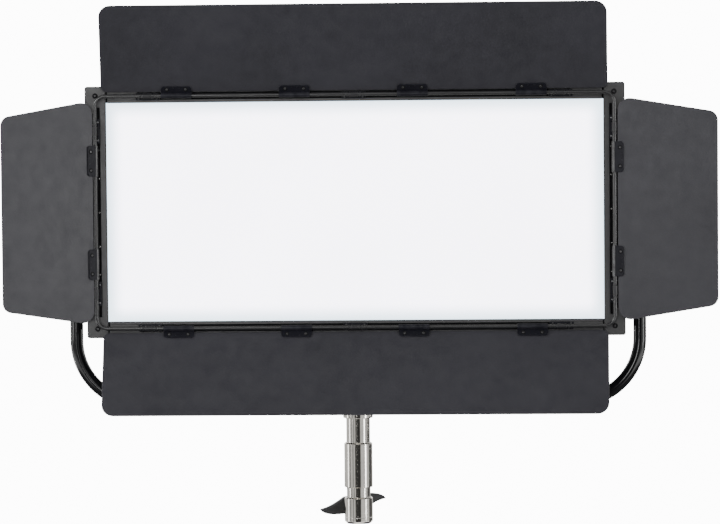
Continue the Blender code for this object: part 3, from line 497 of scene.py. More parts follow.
def coated(
    name, colour, roughness, grain, depth, wear_and_highlight=0.3, marked=(0.16, 0.16, 0.17), vary=0.16, specular=0.5
):
    """Paint, anodising or moulded plastic with edges lightened by wear and by a painted highlight.
    Grain and its depth in millimetres.
    """
    look, tree, shader = shader_of(name)
    lighter = [channel * (1 + vary) + 0.002 for channel in colour]
    darker = [channel * (1 - vary) for channel in colour]
    fine = noise(tree, 1 / (grain * MM), 3, roughness=0.6)
    base = blend_colours(tree, spread(tree, noise(tree, 14, 4), 0.0, 1.0), darker, lighter)
    speckle = spread(tree, fine, 0.0, 0.5, 0.45, 0.75)
    base = blend_colours(tree, speckle, base, [channel * 1.5 for channel in colour])
    # The proud edges turn lighter: partly wear, partly a painted highlight.
    base = blend_colours(tree, edge_wear_and_highlight(tree, wear_and_highlight), base, marked)
    gloss = spread(tree, noise(tree, 90, 4), roughness * 0.86, roughness * 1.14)
    feed(tree, shader, {"Base Color": base, "Roughness": gloss, "Normal": bump(tree, fine, depth)})
    feed(tree, shader, {"Specular IOR Level": specular})
    return look


def metal(name, colour, roughness, turned=False):
    """Bare metal, stained a little. If turned, fine tool marks run round its Z axis."""
    look, tree, shader = shader_of(name)
    stretch = (0.02, 0.02, 1) if turned else (1, 1, 1)
    lines = noise(tree, 2600 if turned else 700, 2, stretch, 0.7)
    darker, lighter, marked = ([channel * share for channel in colour] for share in (0.92, 1.08, 0.72))
    base = blend_colours(tree, spread(tree, noise(tree, 60, 4), 0, 1), darker, lighter)
    base = blend_colours(tree, spread(tree, lines, 0, 0.4, 0.5, 0.8), base, marked)
    gloss = spread(tree, noise(tree, 300, 3), roughness * 0.8, roughness * 1.25)
    relief = bump(tree, lines, 0.02, 0.6)
    feed(tree, shader, {"Base Color": base, "Roughness": gloss, "Normal": relief, "Metallic": 1})
    return look


def opal(name):
    """The lit diffuser: even and bright, and a little dimmer and greener near its edges."""
    look, tree, shader = shader_of(name)
    place = add_node(tree, "ShaderNodeSeparateXYZ", {"Vector": position(tree)})
    across = distance_from(tree, place.outputs["X"], 0)
    up = distance_from(tree, place.outputs["Z"], TILT_Z * MM)
    half_x, half_z = APERTURE[0] * MM / 2, APERTURE[1] * MM / 2
    rim = 18 * MM
    lit = fade(tree, across, half_x - rim, half_x)
    lit = multiply(tree, lit, fade(tree, up, half_z - rim, half_z))
    grain = noise(tree, 1800, 2)
    inputs = {
        "Roughness": 0.45,
        "Emission Color": blend_colours(tree, lit, (0.34, 0.43, 0.50), (0.90, 0.88, 1.0)),
        "Emission Strength": multiply(tree, spread(tree, noise(tree, 9, 2), 0.97, 1.03), PANEL_GLOW),
        "Base Color": blend_colours(tree, grain, (0.80, 0.80, 0.82), (0.86, 0.86, 0.88)),
        "Normal": bump(tree, grain, 0.02, 0.5),
    }
    feed(tree, shader, inputs)
    return look


def screen_glass(name):
    """Dark glass with faint smears."""
    look, tree, shader = shader_of(name)
    smears = noise(tree, 120, 4, (1, 1, 0.3))
    tint = blend_colours(tree, smears, (0.006, 0.009, 0.012), (0.012, 0.017, 0.022))
    feed(tree, shader, {"Base Color": tint, "Roughness": spread(tree, smears, 0.05, 0.14)})
    return look


def glowing(name, colour, strength):
    """A lit mark on the screen."""
    look, tree, shader = shader_of(name)
    dots = spread(tree, noise(tree, 2500, 1), 0.6, 1.0)
    tint = blend_colours(tree, dots, [channel * 0.5 for channel in colour], colour)
    feed(tree, shader, {"Base Color": tint, "Emission Color": tint, "Emission Strength": strength})
    feed(tree, shader, {"Roughness": 0.3})
    return look


PANEL_GLOW = 6.5  # how strongly the lit diffuser shines
DOOR_EDGE_WEAR_AND_HIGHLIGHT = (0.14, 0.14, 0.15)  # what shows where the paint of a door wears, and its painted edge highlight

# The doors carry the same black paint as the frame, drawn darker here as painted shade.
SHADED_DOOR_PAINT = coated("door_paint", (0.024, 0.0235, 0.030), 0.44, 0.9, 0.06, 0.3, DOOR_EDGE_WEAR_AND_HIGHLIGHT, 0.12)
FRAME_PAINT = coated("frame_paint", (0.046, 0.046, 0.047), 0.40, 0.7, 0.05, 0.2)
HOUSING_PAINT = coated("housing_paint", (0.030, 0.030, 0.033), 0.46, 0.9, 0.06, 0.4)
YOKE_PAINT = coated("yoke_paint", (0.005, 0.005, 0.006), 0.10, 2.2, 0.008, 0.2)
BLACK_STEEL = coated("black_steel", (0.016, 0.016, 0.018), 0.36, 0.5, 0.02, 0.4)
HINGE_STEEL = coated(
    "hinge_steel", (0.006, 0.006, 0.010), 0.40, 0.5, 0.02, 0.3, (0.06, 0.06, 0.07), specular=0.18
)
ROD_PAINT = coated("rod_paint", (0.022, 0.022, 0.023), 0.20, 0.5, 0.01, 0.3, specular=0.6)
BLACK_ALUMINIUM = coated("black_aluminium", (0.020, 0.020, 0.022), 0.40, 0.35, 0.02, 0.5)
BLACK_PLASTIC = coated("black_plastic", (0.014, 0.014, 0.015), 0.42, 0.45, 0.03, 0.25)
GREY_PLASTIC = coated("grey_plastic", (0.22, 0.22, 0.23), 0.46, 0.45, 0.03, 0.2, (0.4, 0.4, 0.4))
RED_PLASTIC = coated("red_plastic", (0.42, 0.025, 0.018), 0.36, 0.45, 0.02, 0.2, (0.6, 0.2, 0.15))
WHITE_PAINT = coated("white_paint", (0.78, 0.78, 0.77), 0.55, 0.8, 0.04, 0.1, (0.6, 0.6, 0.6), 0.04)
BOARD_GREEN = coated("board_green", (0.02, 0.13, 0.045), 0.35, 0.6, 0.02, 0.3)
BOARD_WHITE = coated("board_white", (0.74, 0.74, 0.70), 0.40, 0.6, 0.02, 0.1, (0.6, 0.6, 0.55), 0.05)
FIBRE = coated("fibre_washer", (0.05, 0.038, 0.032), 0.85, 0.5, 0.10, 0.2)
WHITE_MARK = coated("white_mark", (0.62, 0.62, 0.62), 0.5, 0.4, 0.01, 0.1, (0.5, 0.5, 0.5), 0.05)
# Near-black painted shade, for grooves, seams, holes, screw rings and the strips behind the rods;
# also the print on the buttons.
PAINTED_SHADE_AND_PRINT = coated("painted_shade_and_print", (0.004, 0.004, 0.005), 0.8, 0.5, 0.03, 0.0, specular=0.15)
SPIGOT_STEEL = metal("spigot_steel", (0.73, 0.70, 0.645), 0.10, True)
BRIGHT_STEEL = metal("bright_steel", (0.62, 0.62, 0.61), 0.26)
SUPPLY_CASE = metal("supply_case", (0.55, 0.55, 0.55), 0.38)
DULL_STEEL = metal("dull_steel", (0.26, 0.26, 0.27), 0.34)
CONTACT_GOLD = metal("contact_gold", (0.78, 0.58, 0.25), 0.22)
OPAL = opal("opal_diffuser")
SCREEN = screen_glass("screen")
SCREEN_MARK = glowing("screen_mark", (0.25, 0.65, 0.85), 1.2)


# Yoke, spigot and wing -----------------------------------------------------------------


def make_yoke():
    """The bent tube, a flattened eye on each end and the ring where each eye is welded on."""
    eye_radius = 15
    leg_top = TILT_Z - eye_radius + 2
    half = [(YOKE_HALF_WIDTH, 0, leg_top), (YOKE_HALF_WIDTH, 0, (leg_top + 83) / 2)]
    corner = (YOKE_HALF_WIDTH - YOKE_BEND, YOKE_BOTTOM_Z + YOKE_BEND)
    half += [(x, 0, z) for x, z in arc(corner, YOKE_BEND, 0, -90, 28)]
    half.append((18, 0, YOKE_BOTTOM_Z))
    path = [(-x, y, z) for x, y, z in half] + half[::-1]
    meshes = [tube(path, YOKE_TUBE_RADIUS, YOKE_PAINT, sides=40)]
    for side in (-1, 1):
        middle = side * YOKE_HALF_WIDTH
        ring = ring_section(5.3, eye_radius, -EYE_THICKNESS / 2, EYE_THICKNESS / 2)
        stand = move(middle, 0, TILT_Z) @ turn_about("Y", 90)
        meshes.append(lathe(ring, YOKE_PAINT, stand, 72, [0, 1.6, 1.6, 0.4, 0]))
        proud = YOKE_TUBE_RADIUS + 0.15
        weld = [(YOKE_TUBE_RADIUS, 0), (proud, 0.5), (proud, 1.6), (YOKE_TUBE_RADIUS, 2.2)]
        meshes.append(lathe(weld, YOKE_PAINT, move(middle, 0, leg_top - 4), 40, 0.3))
    assemble("yoke_tube", "yoke", meshes, ["yoke"])


def make_saddle():
    """The block under the tube, with a half-round bed for it and a step round its foot."""
    bed = YOKE_TUBE_RADIUS + GAP
    half_depth = 13
    foot, top = 5.3, YOKE_BOTTOM_Z
    section = [(-half_depth, foot), (half_depth, foot), (half_depth, top)]
    section += arc((0, top), bed, 0, -180, 20)
    section.append((-half_depth, top))
    block = extrude(section, -18, 18, BLACK_ALUMINIUM, ALONG_X, 0.9)
    assemble("saddle_block", "yoke", [block], ["yoke_saddle"])


def make_bolt():
    seat = YOKE_BOTTOM_Z + YOKE_TUBE_RADIUS + GAP
    washer = [(0, 0), (10, 0), (10, 1.5), (4.6, 1.5), (0, 1.5)]
    head = [(0, 1.5), (8.5, 1.5), (8.5, 5.2), (7.2, 6), (0, 6)]
    shank = [(0, 0.5), (4.4, 0.5), (4.4, -34), (3.6, -34.9), (0, -34.9)]
    flats = polygon_factor(6)

    def hexagon(angle, height):
        return flats(angle, height) if height < 5.6 else 0.5 + 0.5 * flats(angle, height)

    lift = move(0, 0, seat)
    meshes = [
        lathe(washer, BRIGHT_STEEL, lift, 64, 0.3),
        lathe(head, BRIGHT_STEEL, lift, 72, shape=hexagon),
        lathe(shank, BRIGHT_STEEL, lift, 32),
    ]
    assemble("spigot_bolt_head", "yoke", meshes, ["spigot_bolt"])


def make_spigot():
    """The turned spigot: shoulder, neck, barrel with its locking groove, and its bore."""
    full, neck, bore = 14.3, 12.05, 8.2
    profile = [
        (0, -10), (4.7, -10), (4.7, 5), (15, 5), (15, 0), (neck, 0), (neck, -24.8),
        (full - 1.2, -24.8), (full, -25.9), (full, -69.5), (full - 0.6, -70.1), (neck, -70.1),
        (neck, -80.1), (full - 1.2, -80.1), (full, -81.2), (full, -100.1), (full - 0.25, -100.4),
        (full, -100.7), (full, -104.4), (full - 2.4, -106.8), (bore + 1, -106.8), (bore, -105.8),
        (bore, -35), (0, -31),
    ]
    softness = [0, 0.2, 0.4, 0.8, 0.8, 0.3, 0.3]
    softness += [0.2] * 10 + [0.2, 1.6] + [0.3] * 5
    spigot = lathe(profile, SPIGOT_STEEL, Matrix(), 128, softness)
    assemble("spigot_body", "yoke", [spigot], ["spigot"])


def wing_outline():
    """Two fins, each the other turned by half a turn: hollow on one edge, full on the other."""
    root, span, steps = 8.5, 34.5, 14
    reach = span - root
    fin = []
    for step in range(steps + 1):
        along = step / steps
        fin.append((-root - reach * along, root * (1 - along) ** 1.7))
    for step in range(1, steps + 1):
        along = 1 - step / steps
        fin.append((-root - reach * along, -root * math.sqrt(1 - along**2)))
    whole = fin + [(-x, -z) for x, z in fin]
    kept = [whole[0]]
    for point in whole[1:]:
        if (Vector(point) - Vector(kept[-1])).length > 0.3:
            kept.append(point)
    return kept


def make_wing():
    axis = move(0, 0, WING_Z) @ turn_about("Z", WING_TURN)
    fins = axis @ turn_about("Y", -WING_TILT) @ IN_BACK_FACE
    hub = [(0, 16.5), (9.2, 16.5), (9.2, 32), (3.4, 32), (3.4, 30.6), (0, 30.6)]
    stud = [(0, 8.8), (3.4, 8.8), (3.9, 9.4), (3.9, 17), (0, 17)]
    along = axis @ ALONG_Y
    meshes = [
        extrude(wing_outline(), 21.5, 29.5, BLACK_PLASTIC, fins, 1.3, steps=4),
        lathe(hub, BLACK_PLASTIC, along, 64, [0, 1, 2, 0.4, 0.2, 0]),
        lathe(stud, BRIGHT_STEEL, along, 32),
    ]
    assemble("wing_lever", "wing", meshes, ["wing_handle"], 42)


# Front frame ---------------------------------------------------------------------------


def make_cheek(label, side):
    """One end of the frame in three layers: a grooved face, a web and a rebated back."""
    inner, outer = APERTURE[0] / 2, FRAME[0] / 2
    half, top = APERTURE[1] / 2, FRAME[1] / 2
    rebate = inner + DIFFUSER_OVERLAP + GAP
    notch = half + DIFFUSER_OVERLAP + GAP
    groove = rectangle(3, 2 * (half - 4.5), 0.5, (side * (inner + CHEEK_GROOVE), 0))
    corners = [(inner, -top), (outer, -top), (outer, top), (inner, top)]
    rebated = corners + [(inner, notch), (rebate, notch), (rebate, -notch), (inner, -notch)]
    whole = rounded([(side * x, z) for x, z in corners], FACE_CORNERS)
    back = rounded([(side * x, z) for x, z in rebated], FACE_CORNERS + [0] * 4)
    floor = -FACE_Y - GROOVE_DEPTH
    lip = -LIP_BACK_Y
    stand = HEAD @ ON_FRONT
    meshes = [
        extrude(whole, floor, -FACE_Y, FRAME_PAINT, stand, (0, 0.8), [groove]),
        extrude(whole, lip, floor + LAP, FRAME_PAINT, stand, 0),
        extrude(back, -FRAME_BACK_Y, lip + LAP, FRAME_PAINT, stand, (0.3, 0)),
        # A dark strip of painted shade on the groove's floor.
        extrude(groove, floor, floor + 0.3, PAINTED_SHADE_AND_PRINT, stand, LAP),
    ]
    assemble(f"frame_cheek_{label}", "head", meshes, [f"cheek_{label}"])


def make_rail(label, side):
    """A long bar of the frame: a lip over the diffuser, a groove with painted shade on its floor, and
    a seam at each end filled with painted shade.
    """
    inner, outer = APERTURE[1] / 2, FRAME[1] / 2
    rebate = inner + DIFFUSER_OVERLAP + GAP
    groove = (inner + 3, inner + 5.2)
    section = [
        (FACE_Y, inner), (FACE_Y, groove[0]), (FACE_Y + GROOVE_DEPTH, groove[0]),
        (FACE_Y + GROOVE_DEPTH, groove[1]), (FACE_Y, groove[1]), (FACE_Y, outer),
        (FRAME_BACK_Y, outer), (FRAME_BACK_Y, rebate), (LIP_BACK_Y, rebate), (LIP_BACK_Y, inner),
    ]
    section = [(y, side * z) for y, z in section]
    stand = HEAD @ ON_FRONT
    end = APERTURE[0] / 2
    half = end - SEAM
    meshes = [extrude(section, -half, half, FRAME_PAINT, HEAD @ ALONG_X)]
    middle_z, wide = side * (groove[0] + groove[1]) / 2, groove[1] - groove[0]
    floor = rectangle(2 * GROOVE_HALF, wide, 0, (0, middle_z))
    deep = -FACE_Y - GROOVE_DEPTH
    # A dark strip of painted shade on the groove's floor.
    meshes.append(extrude(floor, deep - LAP, deep + 0.3, PAINTED_SHADE_AND_PRINT, stand, LAP))
    length = half - 0.3 - GROOVE_HALF
    # Dark blocks of painted shade fill the seam at each end, from the frame's back up to the groove's
    # floor.
    seam_shades = (inner, -LIP_BACK_Y, deep), (rebate, -FRAME_BACK_Y, -LIP_BACK_Y + LAP)
    for across in (-1, 1):
        plug = rectangle(length, wide + 0.7, 0, (across * (GROOVE_HALF + length / 2), middle_z))
        meshes.append(extrude(plug, deep - LAP, -FACE_Y, FRAME_PAINT, stand, (0, LAP)))
        middle = across * (end - SEAM / 2)
        for low, start, stop in seam_shades:
            seam_shade = rectangle(SEAM + LAP, outer - low - 0.4, 0, (middle, side * (low + outer) / 2))
            meshes.append(extrude(seam_shade, start, stop, PAINTED_SHADE_AND_PRINT, stand, 0))
    assemble(f"frame_rail_{label}", "head", meshes, [f"rail_{label}"])


def make_frame_screws():
    """Screws on the corners, beside the seams and in the cheeks' grooves; each corner screw sits in a
    flat dark ring of painted shade, standing for its countersink.
    """
    meshes = []
    corner_x, corner_z = FRAME[0] / 2 - 10.7, FRAME[1] / 2 - 9.5
    beside_x, beside_z = APERTURE[0] / 2 + 2.2, FRAME[1] / 2 - 4.6
    for side, end in CORNERS:
        seat = HEAD @ move(side * corner_x, FACE_Y, end * corner_z) @ ON_FRONT
        # A flat dark ring of painted shade round the corner screw, standing for its countersink.
        meshes.append(lathe(ring_section(1, 2.7, -0.1, 0.2), PAINTED_SHADE_AND_PRINT, seat, 40))
        meshes.append(screw(1.1, 0.5, ROD_PAINT, seat, deep=0.8))
        small = HEAD @ move(side * beside_x, FACE_Y, end * beside_z) @ ON_FRONT
        meshes.append(screw(1.1, 0.4, BLACK_STEEL, small, deep=0.7))
    for side in (-1, 1):
        for up in (-62, -34, 0, 34, 62):
            groove = (side * (APERTURE[0] / 2 + CHEEK_GROOVE), FACE_Y + GROOVE_DEPTH, up)
            seat = HEAD @ move(*groove) @ ON_FRONT
            meshes.append(screw(0.8, 0.7, BRIGHT_STEEL, seat, deep=0.7))
    assemble("frame_screws", "head", meshes)


def make_painted_rod_shadows():
    """Dark strips of painted shadow on the frame's face behind the rods, where the closed doors rest.
    """
    meshes = []
    wide, thick = 4.9, (-FACE_Y - LAP, -FACE_Y + 0.28)
    x, z = APERTURE[0] / 2 + 11.8, APERTURE[1] / 2 + 7.9
    for side in (-1, 1):
        level = rectangle(2 * GROOVE_HALF, wide, 0.5, (0, side * z))
        upright = rectangle(wide, LOOP[1] - 34, 0.5, (side * x, 0))
        for outline in (level, upright):
            meshes.append(extrude(outline, *thick, PAINTED_SHADE_AND_PRINT, HEAD @ ON_FRONT, 0.1))
    assemble("painted_rod_shadows", "head", meshes)


def make_diffuser():
    size = (side + 2 * DIFFUSER_OVERLAP for side in APERTURE)
    sheet = extrude(rectangle(*size, 0.8), 32.6, 35.1, OPAL, HEAD @ ON_FRONT, 0.4)
    piece = assemble("diffuser_sheet", "head", [sheet], ["diffuser"])
    piece.visible_diffuse = False
    piece.visible_glossy = False


# Housing and heat sinks ----------------------------------------------------------------


def make_housing():
    """A folded sheet shell with rounded corners, open at its front and back."""
    outside = rectangle(*HOUSING, HOUSING_CORNER, steps=8)
    size = (side - 2 * HOUSING_WALL for side in HOUSING)
    inside = rectangle(*size, HOUSING_CORNER - HOUSING_WALL, steps=8)
    reach = (-HOUSING_BACK_Y, -HOUSING_FRONT_Y)
    shell = extrude(outside, *reach, HOUSING_PAINT, HEAD @ ON_FRONT, 0.35, [inside])
    assemble("housing_shell", "head", [shell], ["housing"])


def make_back_plate():
    outline = rectangle(*HOUSING, HOUSING_CORNER, steps=8)
    plate = extrude(outline, PLATE_BACK_Y - 2, PLATE_BACK_Y, HOUSING_PAINT, HEAD @ ON_BACK, 0.6)
    assemble("back_plate_sheet", "head", [plate], ["back_plate"])


def make_back_screws():
    """Screws round the back plate, and in a row round the housing's four walls."""
    x, z = HOUSING[0] / 2 - 5.2, HOUSING[1] / 2 - 7
    spots = [(side * x, end * z) for side, end in CORNERS]
    spots += [(side * x, 0) for side in (-1, 1)]
    spots += [(across, end * z) for across in (-170, -60, 60, 170) for end in (-1, 1)]
    backs = [move(across, PLATE_BACK_Y, up) @ ON_BACK for across, up in spots]
    meshes = [screw(2.7, 1.3, BLACK_STEEL, HEAD @ seat) for seat in backs]
    round_y = -14  # the row of screws round the housing's walls
    walls = [
        move(across, round_y, end * HOUSING[1] / 2) @ turn_about("X", 90 - 90 * end)
        for across in (-215, -72, 72, 215)
        for end in (-1, 1)
    ]
    walls += [
        move(side * HOUSING[0] / 2, round_y, 92 * end) @ turn_about("Y", 90 * side)
        for side, end in CORNERS
    ]
    meshes += [screw(2.2, 0.9, BLACK_STEEL, HEAD @ seat) for seat in walls]
    assemble("housing_screws", "head", meshes)


def heatsink_section(side):
    """A base with upright fins that narrow a little towards their tips."""
    fins, root, base, top = 16, 2.2, 3, 25
    inner, outer = 88, 252
    pitch = (outer - inner - root) / (fins - 1)
    taper = 0.25
    section = [(inner, 0), (outer, 0)]
    for index in reversed(range(fins)):
        left = inner + index * pitch
        section.append((left + root - taper, top))
        section.append((left + taper, top))
        if index:
            section.append((left, base))
            section.append((left - pitch + root, base))
    return [(side * x, y) for x, y in section]


def make_heatsinks():
    for side, label in ((-1, "left"), (1, "right")):
        half = 104
        lift = HEAD @ move(0, BACK_Y, 0) @ ALONG_Z
        fins = extrude(heatsink_section(side), -half, half, BLACK_ALUMINIUM, lift, 0.5)
        assemble(f"heatsink_{label}_fins", "head", [fins], [f"heatsink_{label}"])


def make_safety_eye():
    foot = [(0, 0), (9, 0), (9, 2.2), (7.6, 3), (4, 3), (0, 3)]
    collar = [(0, 2.5), (4.2, 2.5), (4.2, 4.2), (3, 5), (0, 5)]
    seat = HEAD @ move(0, BACK_Y, 88)
    ring = [(0, 13.5 + y, z) for y, z in circle(9.5, 64)]
    meshes = [
        lathe(foot, BRIGHT_STEEL, seat @ ON_BACK, 64, 0.4),
        lathe(collar, BRIGHT_STEEL, seat @ ON_BACK, 48, 0.3),
        tube(ring, 2.4, BRIGHT_STEEL, seat, True, 24),
    ]
    assemble("safety_eye_ring", "head", meshes, ["safety_eye"])


# Control box ---------------------------------------------------------------------------

DISPLAY_AT = (-38, 34)
DIMMER_AT = (18, 34)
COLOUR_AT = (54, 34)
BUTTON_XS = (-62, -46, -30, -14)
BUTTON_Z = 2
SWITCH_AT = (54, -8)
INLET_AT = (50, -53)
DMX_IN_AT = (-58, -52)
DMX_OUT_AT = (-22, -52)
USB_AT = (12, -52)
SOCKET_RIM = 2.2  # how far a socket's rim stands out
BOX_MIDDLE = (0, -12.5)
BOX_SIZE = (160, 145)


def on_panel(at, height=PANEL_BACK_Y):
    return HEAD @ move(at[0], height, at[1]) @ IN_BACK_FACE


def make_control_box():
    outside = rectangle(*BOX_SIZE, 4, BOX_MIDDLE, 8)
    wall = 1.6
    inside = rectangle(*(side - 2 * wall for side in BOX_SIZE), 2.4, BOX_MIDDLE, 8)
    stand = HEAD @ IN_BACK_FACE
    floor = BACK_Y + wall
    meshes = [
        extrude(outside, floor - 0.1, PANEL_Y - GAP, HOUSING_PAINT, stand, 0.4, [inside]),
        extrude(outside, BACK_Y, floor, HOUSING_PAINT, stand, 0.4),
    ]
    assemble("control_housing", "head", meshes, ["control_box"])


def make_control_panel():
    """The face of the control box, with an opening for each control."""
    outline = rectangle(*BOX_SIZE, 4, BOX_MIDDLE, 8)
    holes = [
        rectangle(60, 30, 0.6, DISPLAY_AT),
        rectangle(14, 21, 0.6, SWITCH_AT),
        rectangle(14, 8, 1, USB_AT),
        *(circle(3.8, 32, at) for at in (DIMMER_AT, COLOUR_AT)),
        circle(13, 64, INLET_AT),
        *(circle(11.2, 64, at) for at in (DMX_IN_AT, DMX_OUT_AT)),
        *(rectangle(11, 7, 0.9, (x, BUTTON_Z)) for x in BUTTON_XS),
    ]
    stand = HEAD @ IN_BACK_FACE
    meshes = [extrude(outline, PANEL_Y, PANEL_BACK_Y, BLACK_ALUMINIUM, stand, 0.35, holes)]
    assemble("control_face", "head", meshes, ["control_panel"])


def make_panel_marks():
    """Printed ticks round the knobs and a line between the groups of controls."""
    meshes = []
    proud = (PANEL_BACK_Y - 0.05, PANEL_BACK_Y + 0.06)
    stand = HEAD @ IN_BACK_FACE
    for at in (DIMMER_AT, COLOUR_AT):
        for step in range(11):
            spin = stand @ move(*at, 0) @ turn_about("Z", 225 - 27 * step)
            tick = rectangle(1.4 if step % 5 else 2.2, 0.4, 0, (14.2, 0))
            meshes.append(extrude(tick, *proud, WHITE_MARK, spin, 0.02, steps=1))
    rule = rectangle(144, 0.4, 0, (0, -30))
    meshes.append(extrude(rule, *proud, WHITE_MARK, stand, 0.02, steps=1))
    assemble("panel_marks", "head", meshes)


def make_panel_screws():
    corners = [(x, z) for x in (-74, 74) for z in (-79, 54)]
    meshes = [screw(2.6, 1.3, BLACK_STEEL, on_panel(corner)) for corner in corners]
    for at, reach in ((DMX_IN_AT, 12), (DMX_OUT_AT, 12), (INLET_AT, 13.6)):
        for side in (-1, 1):
            spot = [place + side * reach * 0.72 for place in at]
            seat = on_panel(spot, PANEL_BACK_Y + SOCKET_RIM)
            meshes.append(screw(1.5, 0.9, BRIGHT_STEEL, seat))
    assemble("panel_screws", "head", meshes)


def make_display():
    """A window with a bevelled bezel, and two level bars lit behind it."""
    glass = rectangle(59.2, 29.2, 0.5, DISPLAY_AT)
    stand = HEAD @ IN_BACK_FACE
    back = PANEL_BACK_Y - 0.4
    meshes = [extrude(glass, back - 4.6, back, SCREEN, stand, 0.25)]
    front = (back - 0.02, back + 0.05)
    x, z = DISPLAY_AT
    for row, lit in ((5.5, 9), (-5.5, 6)):
        for step in range(12):
            height = 4.5 if step < lit else 1.2
            bar = rectangle(2.4, height, 0, (x + (step - 5.5) * 3.8, z + row))
            meshes.append(extrude(bar, *front, SCREEN_MARK, stand, 0.01, steps=1))
    assemble("display_window", "head", meshes, ["display"])


def make_encoder_knob(name, at):
    """A knurled knob with a dished top and a white line on it."""
    height, radius, lift = 16.9, 11, 0.6
    profile = [
        (0, height - 1), (6.5, height - 0.7), (8.4, height), (radius - 0.9, height),
        (radius - 0.1, height - 1.6), (radius, height - 4), (radius, lift + 2.4),
        (radius - 0.5, lift), (3.4, lift), (3.4, -8), (0, -8),
    ]

    def knurl(angle, level):
        return 1 - (0.045 * (0.5 - 0.5 * math.cos(40 * angle)) if 3 < level < 14.5 else 0)

    softness = [0, 1, 0.6, 0.5, 0.4, 0.1, 0.1, 0.3, 0.2, 0.2, 0]
    seat = on_panel(at)
    line = rectangle(4.4, 0.8, 0, (8, 0))
    pointer = seat @ turn_about("Z", 90)
    meshes = [
        lathe(profile, BLACK_PLASTIC, seat, 240, softness, knurl),
        extrude(line, height - 0.6, height + 0.04, WHITE_MARK, pointer, 0.02, steps=1),
    ]
    assemble(f"{name}_cap", name, meshes, [name], 30)


def make_buttons():
    for index, x in enumerate(BUTTON_XS, 1):
        name = f"button_{index}"
        outline = rectangle(10.4, 6.4, 0.8)
        seat = on_panel((x, BUTTON_Z))
        mark = circle(0.9, 20) if index % 2 else rectangle(3.4, 0.5)
        meshes = [
            extrude(outline, -2, 2.2, GREY_PLASTIC, seat, 0.7, steps=4),
            extrude(outline, -6, -2.1, GREY_PLASTIC, seat),
            extrude(mark, 2.15, 2.2, PAINTED_SHADE_AND_PRINT, seat, 0.01, steps=1),
        ]
        assemble(f"{name}_cap", name, meshes, [name])


def make_switch():
    """A rocker whose face is a shallow V, with a raised bar on one end and a ring on the other."""
    axis = HEAD @ move(SWITCH_AT[0], PANEL_Y, SWITCH_AT[1]) @ turn_about("X", 8)
    half, base, tip, middle = 9.3, -3, 5.2, 3.4
    section = [(base, -half), (base, half), (tip, half), (middle, 0), (tip, -half)]
    section = rounded(section, [0, 0, 0.8, 1.5, 0.8], 5)
    meshes = [extrude(section, -6.7, 6.7, RED_PLASTIC, axis @ ALONG_X, 0.5)]
    slope = math.degrees(math.atan2(tip - middle, half))
    for side in (-1, 1):
        seat = axis @ move(0, (tip + middle) / 2 - 0.02, side * half / 2)
        seat = seat @ turn_about("X", side * slope) @ IN_BACK_FACE
        mark, holes = (rectangle(0.7, 3.4), ()) if side > 0 else (circle(1.8, 40), [circle(1.25, 40)])
        meshes.append(extrude(mark, 0, 0.1, WHITE_MARK, seat, 0.03, holes, 1))
    assemble("power_rocker", "power_switch", meshes, ["power_switch"])


def socket_body(radius, recess, deep, look, seat):
    """A socket's shell with a round recess, its rim on the panel."""
    rim, rim_height, depth = radius + 2.8, SOCKET_RIM, 16
    profile = [
        (0, rim_height - deep), (recess, rim_height - deep), (recess, rim_height),
        (rim, rim_height), (rim, 0), (radius, 0), (radius, -depth), (0, -depth),
    ]
    return lathe(profile, look, seat, 80, [0, 0.3, 0.7, 0.7, 0.2, 0.2, 0.6, 0])


def pin(radius, low, high, look, seat):
    shoulder, tip = (radius, high - radius), (radius * 0.7, high - 0.25 * radius)
    profile = [(0, low), (radius, low), shoulder, tip, (0, high)]
    return lathe(profile, look, seat, 20)


def make_power_inlet():
    """A round locking inlet: three blades in its recess and two keyways in its wall."""
    seat = on_panel(INLET_AT, PANEL_BACK_Y + GAP)
    meshes = [socket_body(12.6, 10, 12, GREY_PLASTIC, seat)]
    for angle in (90, 210, 330):
        spin = seat @ turn_about("Z", angle)
        blade = rectangle(1.3, 4.6, 0.3, (5.2, 0))
        meshes.append(extrude(blade, -10.2, -2, BRIGHT_STEEL, spin, 0.3))
    core = [(0, -10.2), (2.8, -10.2), (2.8, -1.2), (0, -1.2)]
    meshes.append(lathe(core, BLACK_PLASTIC, seat, 40, 0.5))
    for angle in (30, 210):
        key = rectangle(1.2, 3, 0.2, (9.5, 0))
        spin = seat @ turn_about("Z", angle)
        meshes.append(extrude(key, -9.8, 1.6, GREY_PLASTIC, spin, 0.2))
    assemble("power_inlet_socket", "head", meshes, ["power_inlet"])


def make_dmx_sockets():
    """A male socket with five pins, and a female one with five sleeves and a latch."""
    pins = [turn_about("Z", angle) @ move(4.6, 0, 0) for angle in (-220, -160, -90, -20, 40)]
    seat = on_panel(DMX_IN_AT, PANEL_BACK_Y + GAP)
    meshes = [socket_body(10.8, 8, 12, BLACK_PLASTIC, seat)]
    meshes += [pin(0.9, -10, -1.2, CONTACT_GOLD, seat @ at) for at in pins]
    assemble("dmx_in_socket", "head", meshes, ["dmx_in"])
    seat = on_panel(DMX_OUT_AT, PANEL_BACK_Y + GAP)
    meshes = [socket_body(10.8, 8, 1.2, BLACK_PLASTIC, seat)]
    # Each sleeve holds a dark disc of painted shade, standing for the depth of its hole.
    hole = [(0, 0.9), (0.85, 0.9), (0.85, 1.04), (0, 1.04)]
    for at in pins:
        meshes.append(lathe(ring_section(0.775, 1.225, 0.9, 1.2), CONTACT_GOLD, seat @ at, 24))
        meshes.append(lathe(hole, PAINTED_SHADE_AND_PRINT, seat @ at, 24))
    latch = rectangle(5, 2.4, 0.6, (0, 9.6))
    meshes.append(extrude(latch, 1.6, 2.7, BRIGHT_STEEL, seat, 0.3))
    assemble("dmx_out_socket", "head", meshes, ["dmx_out"])


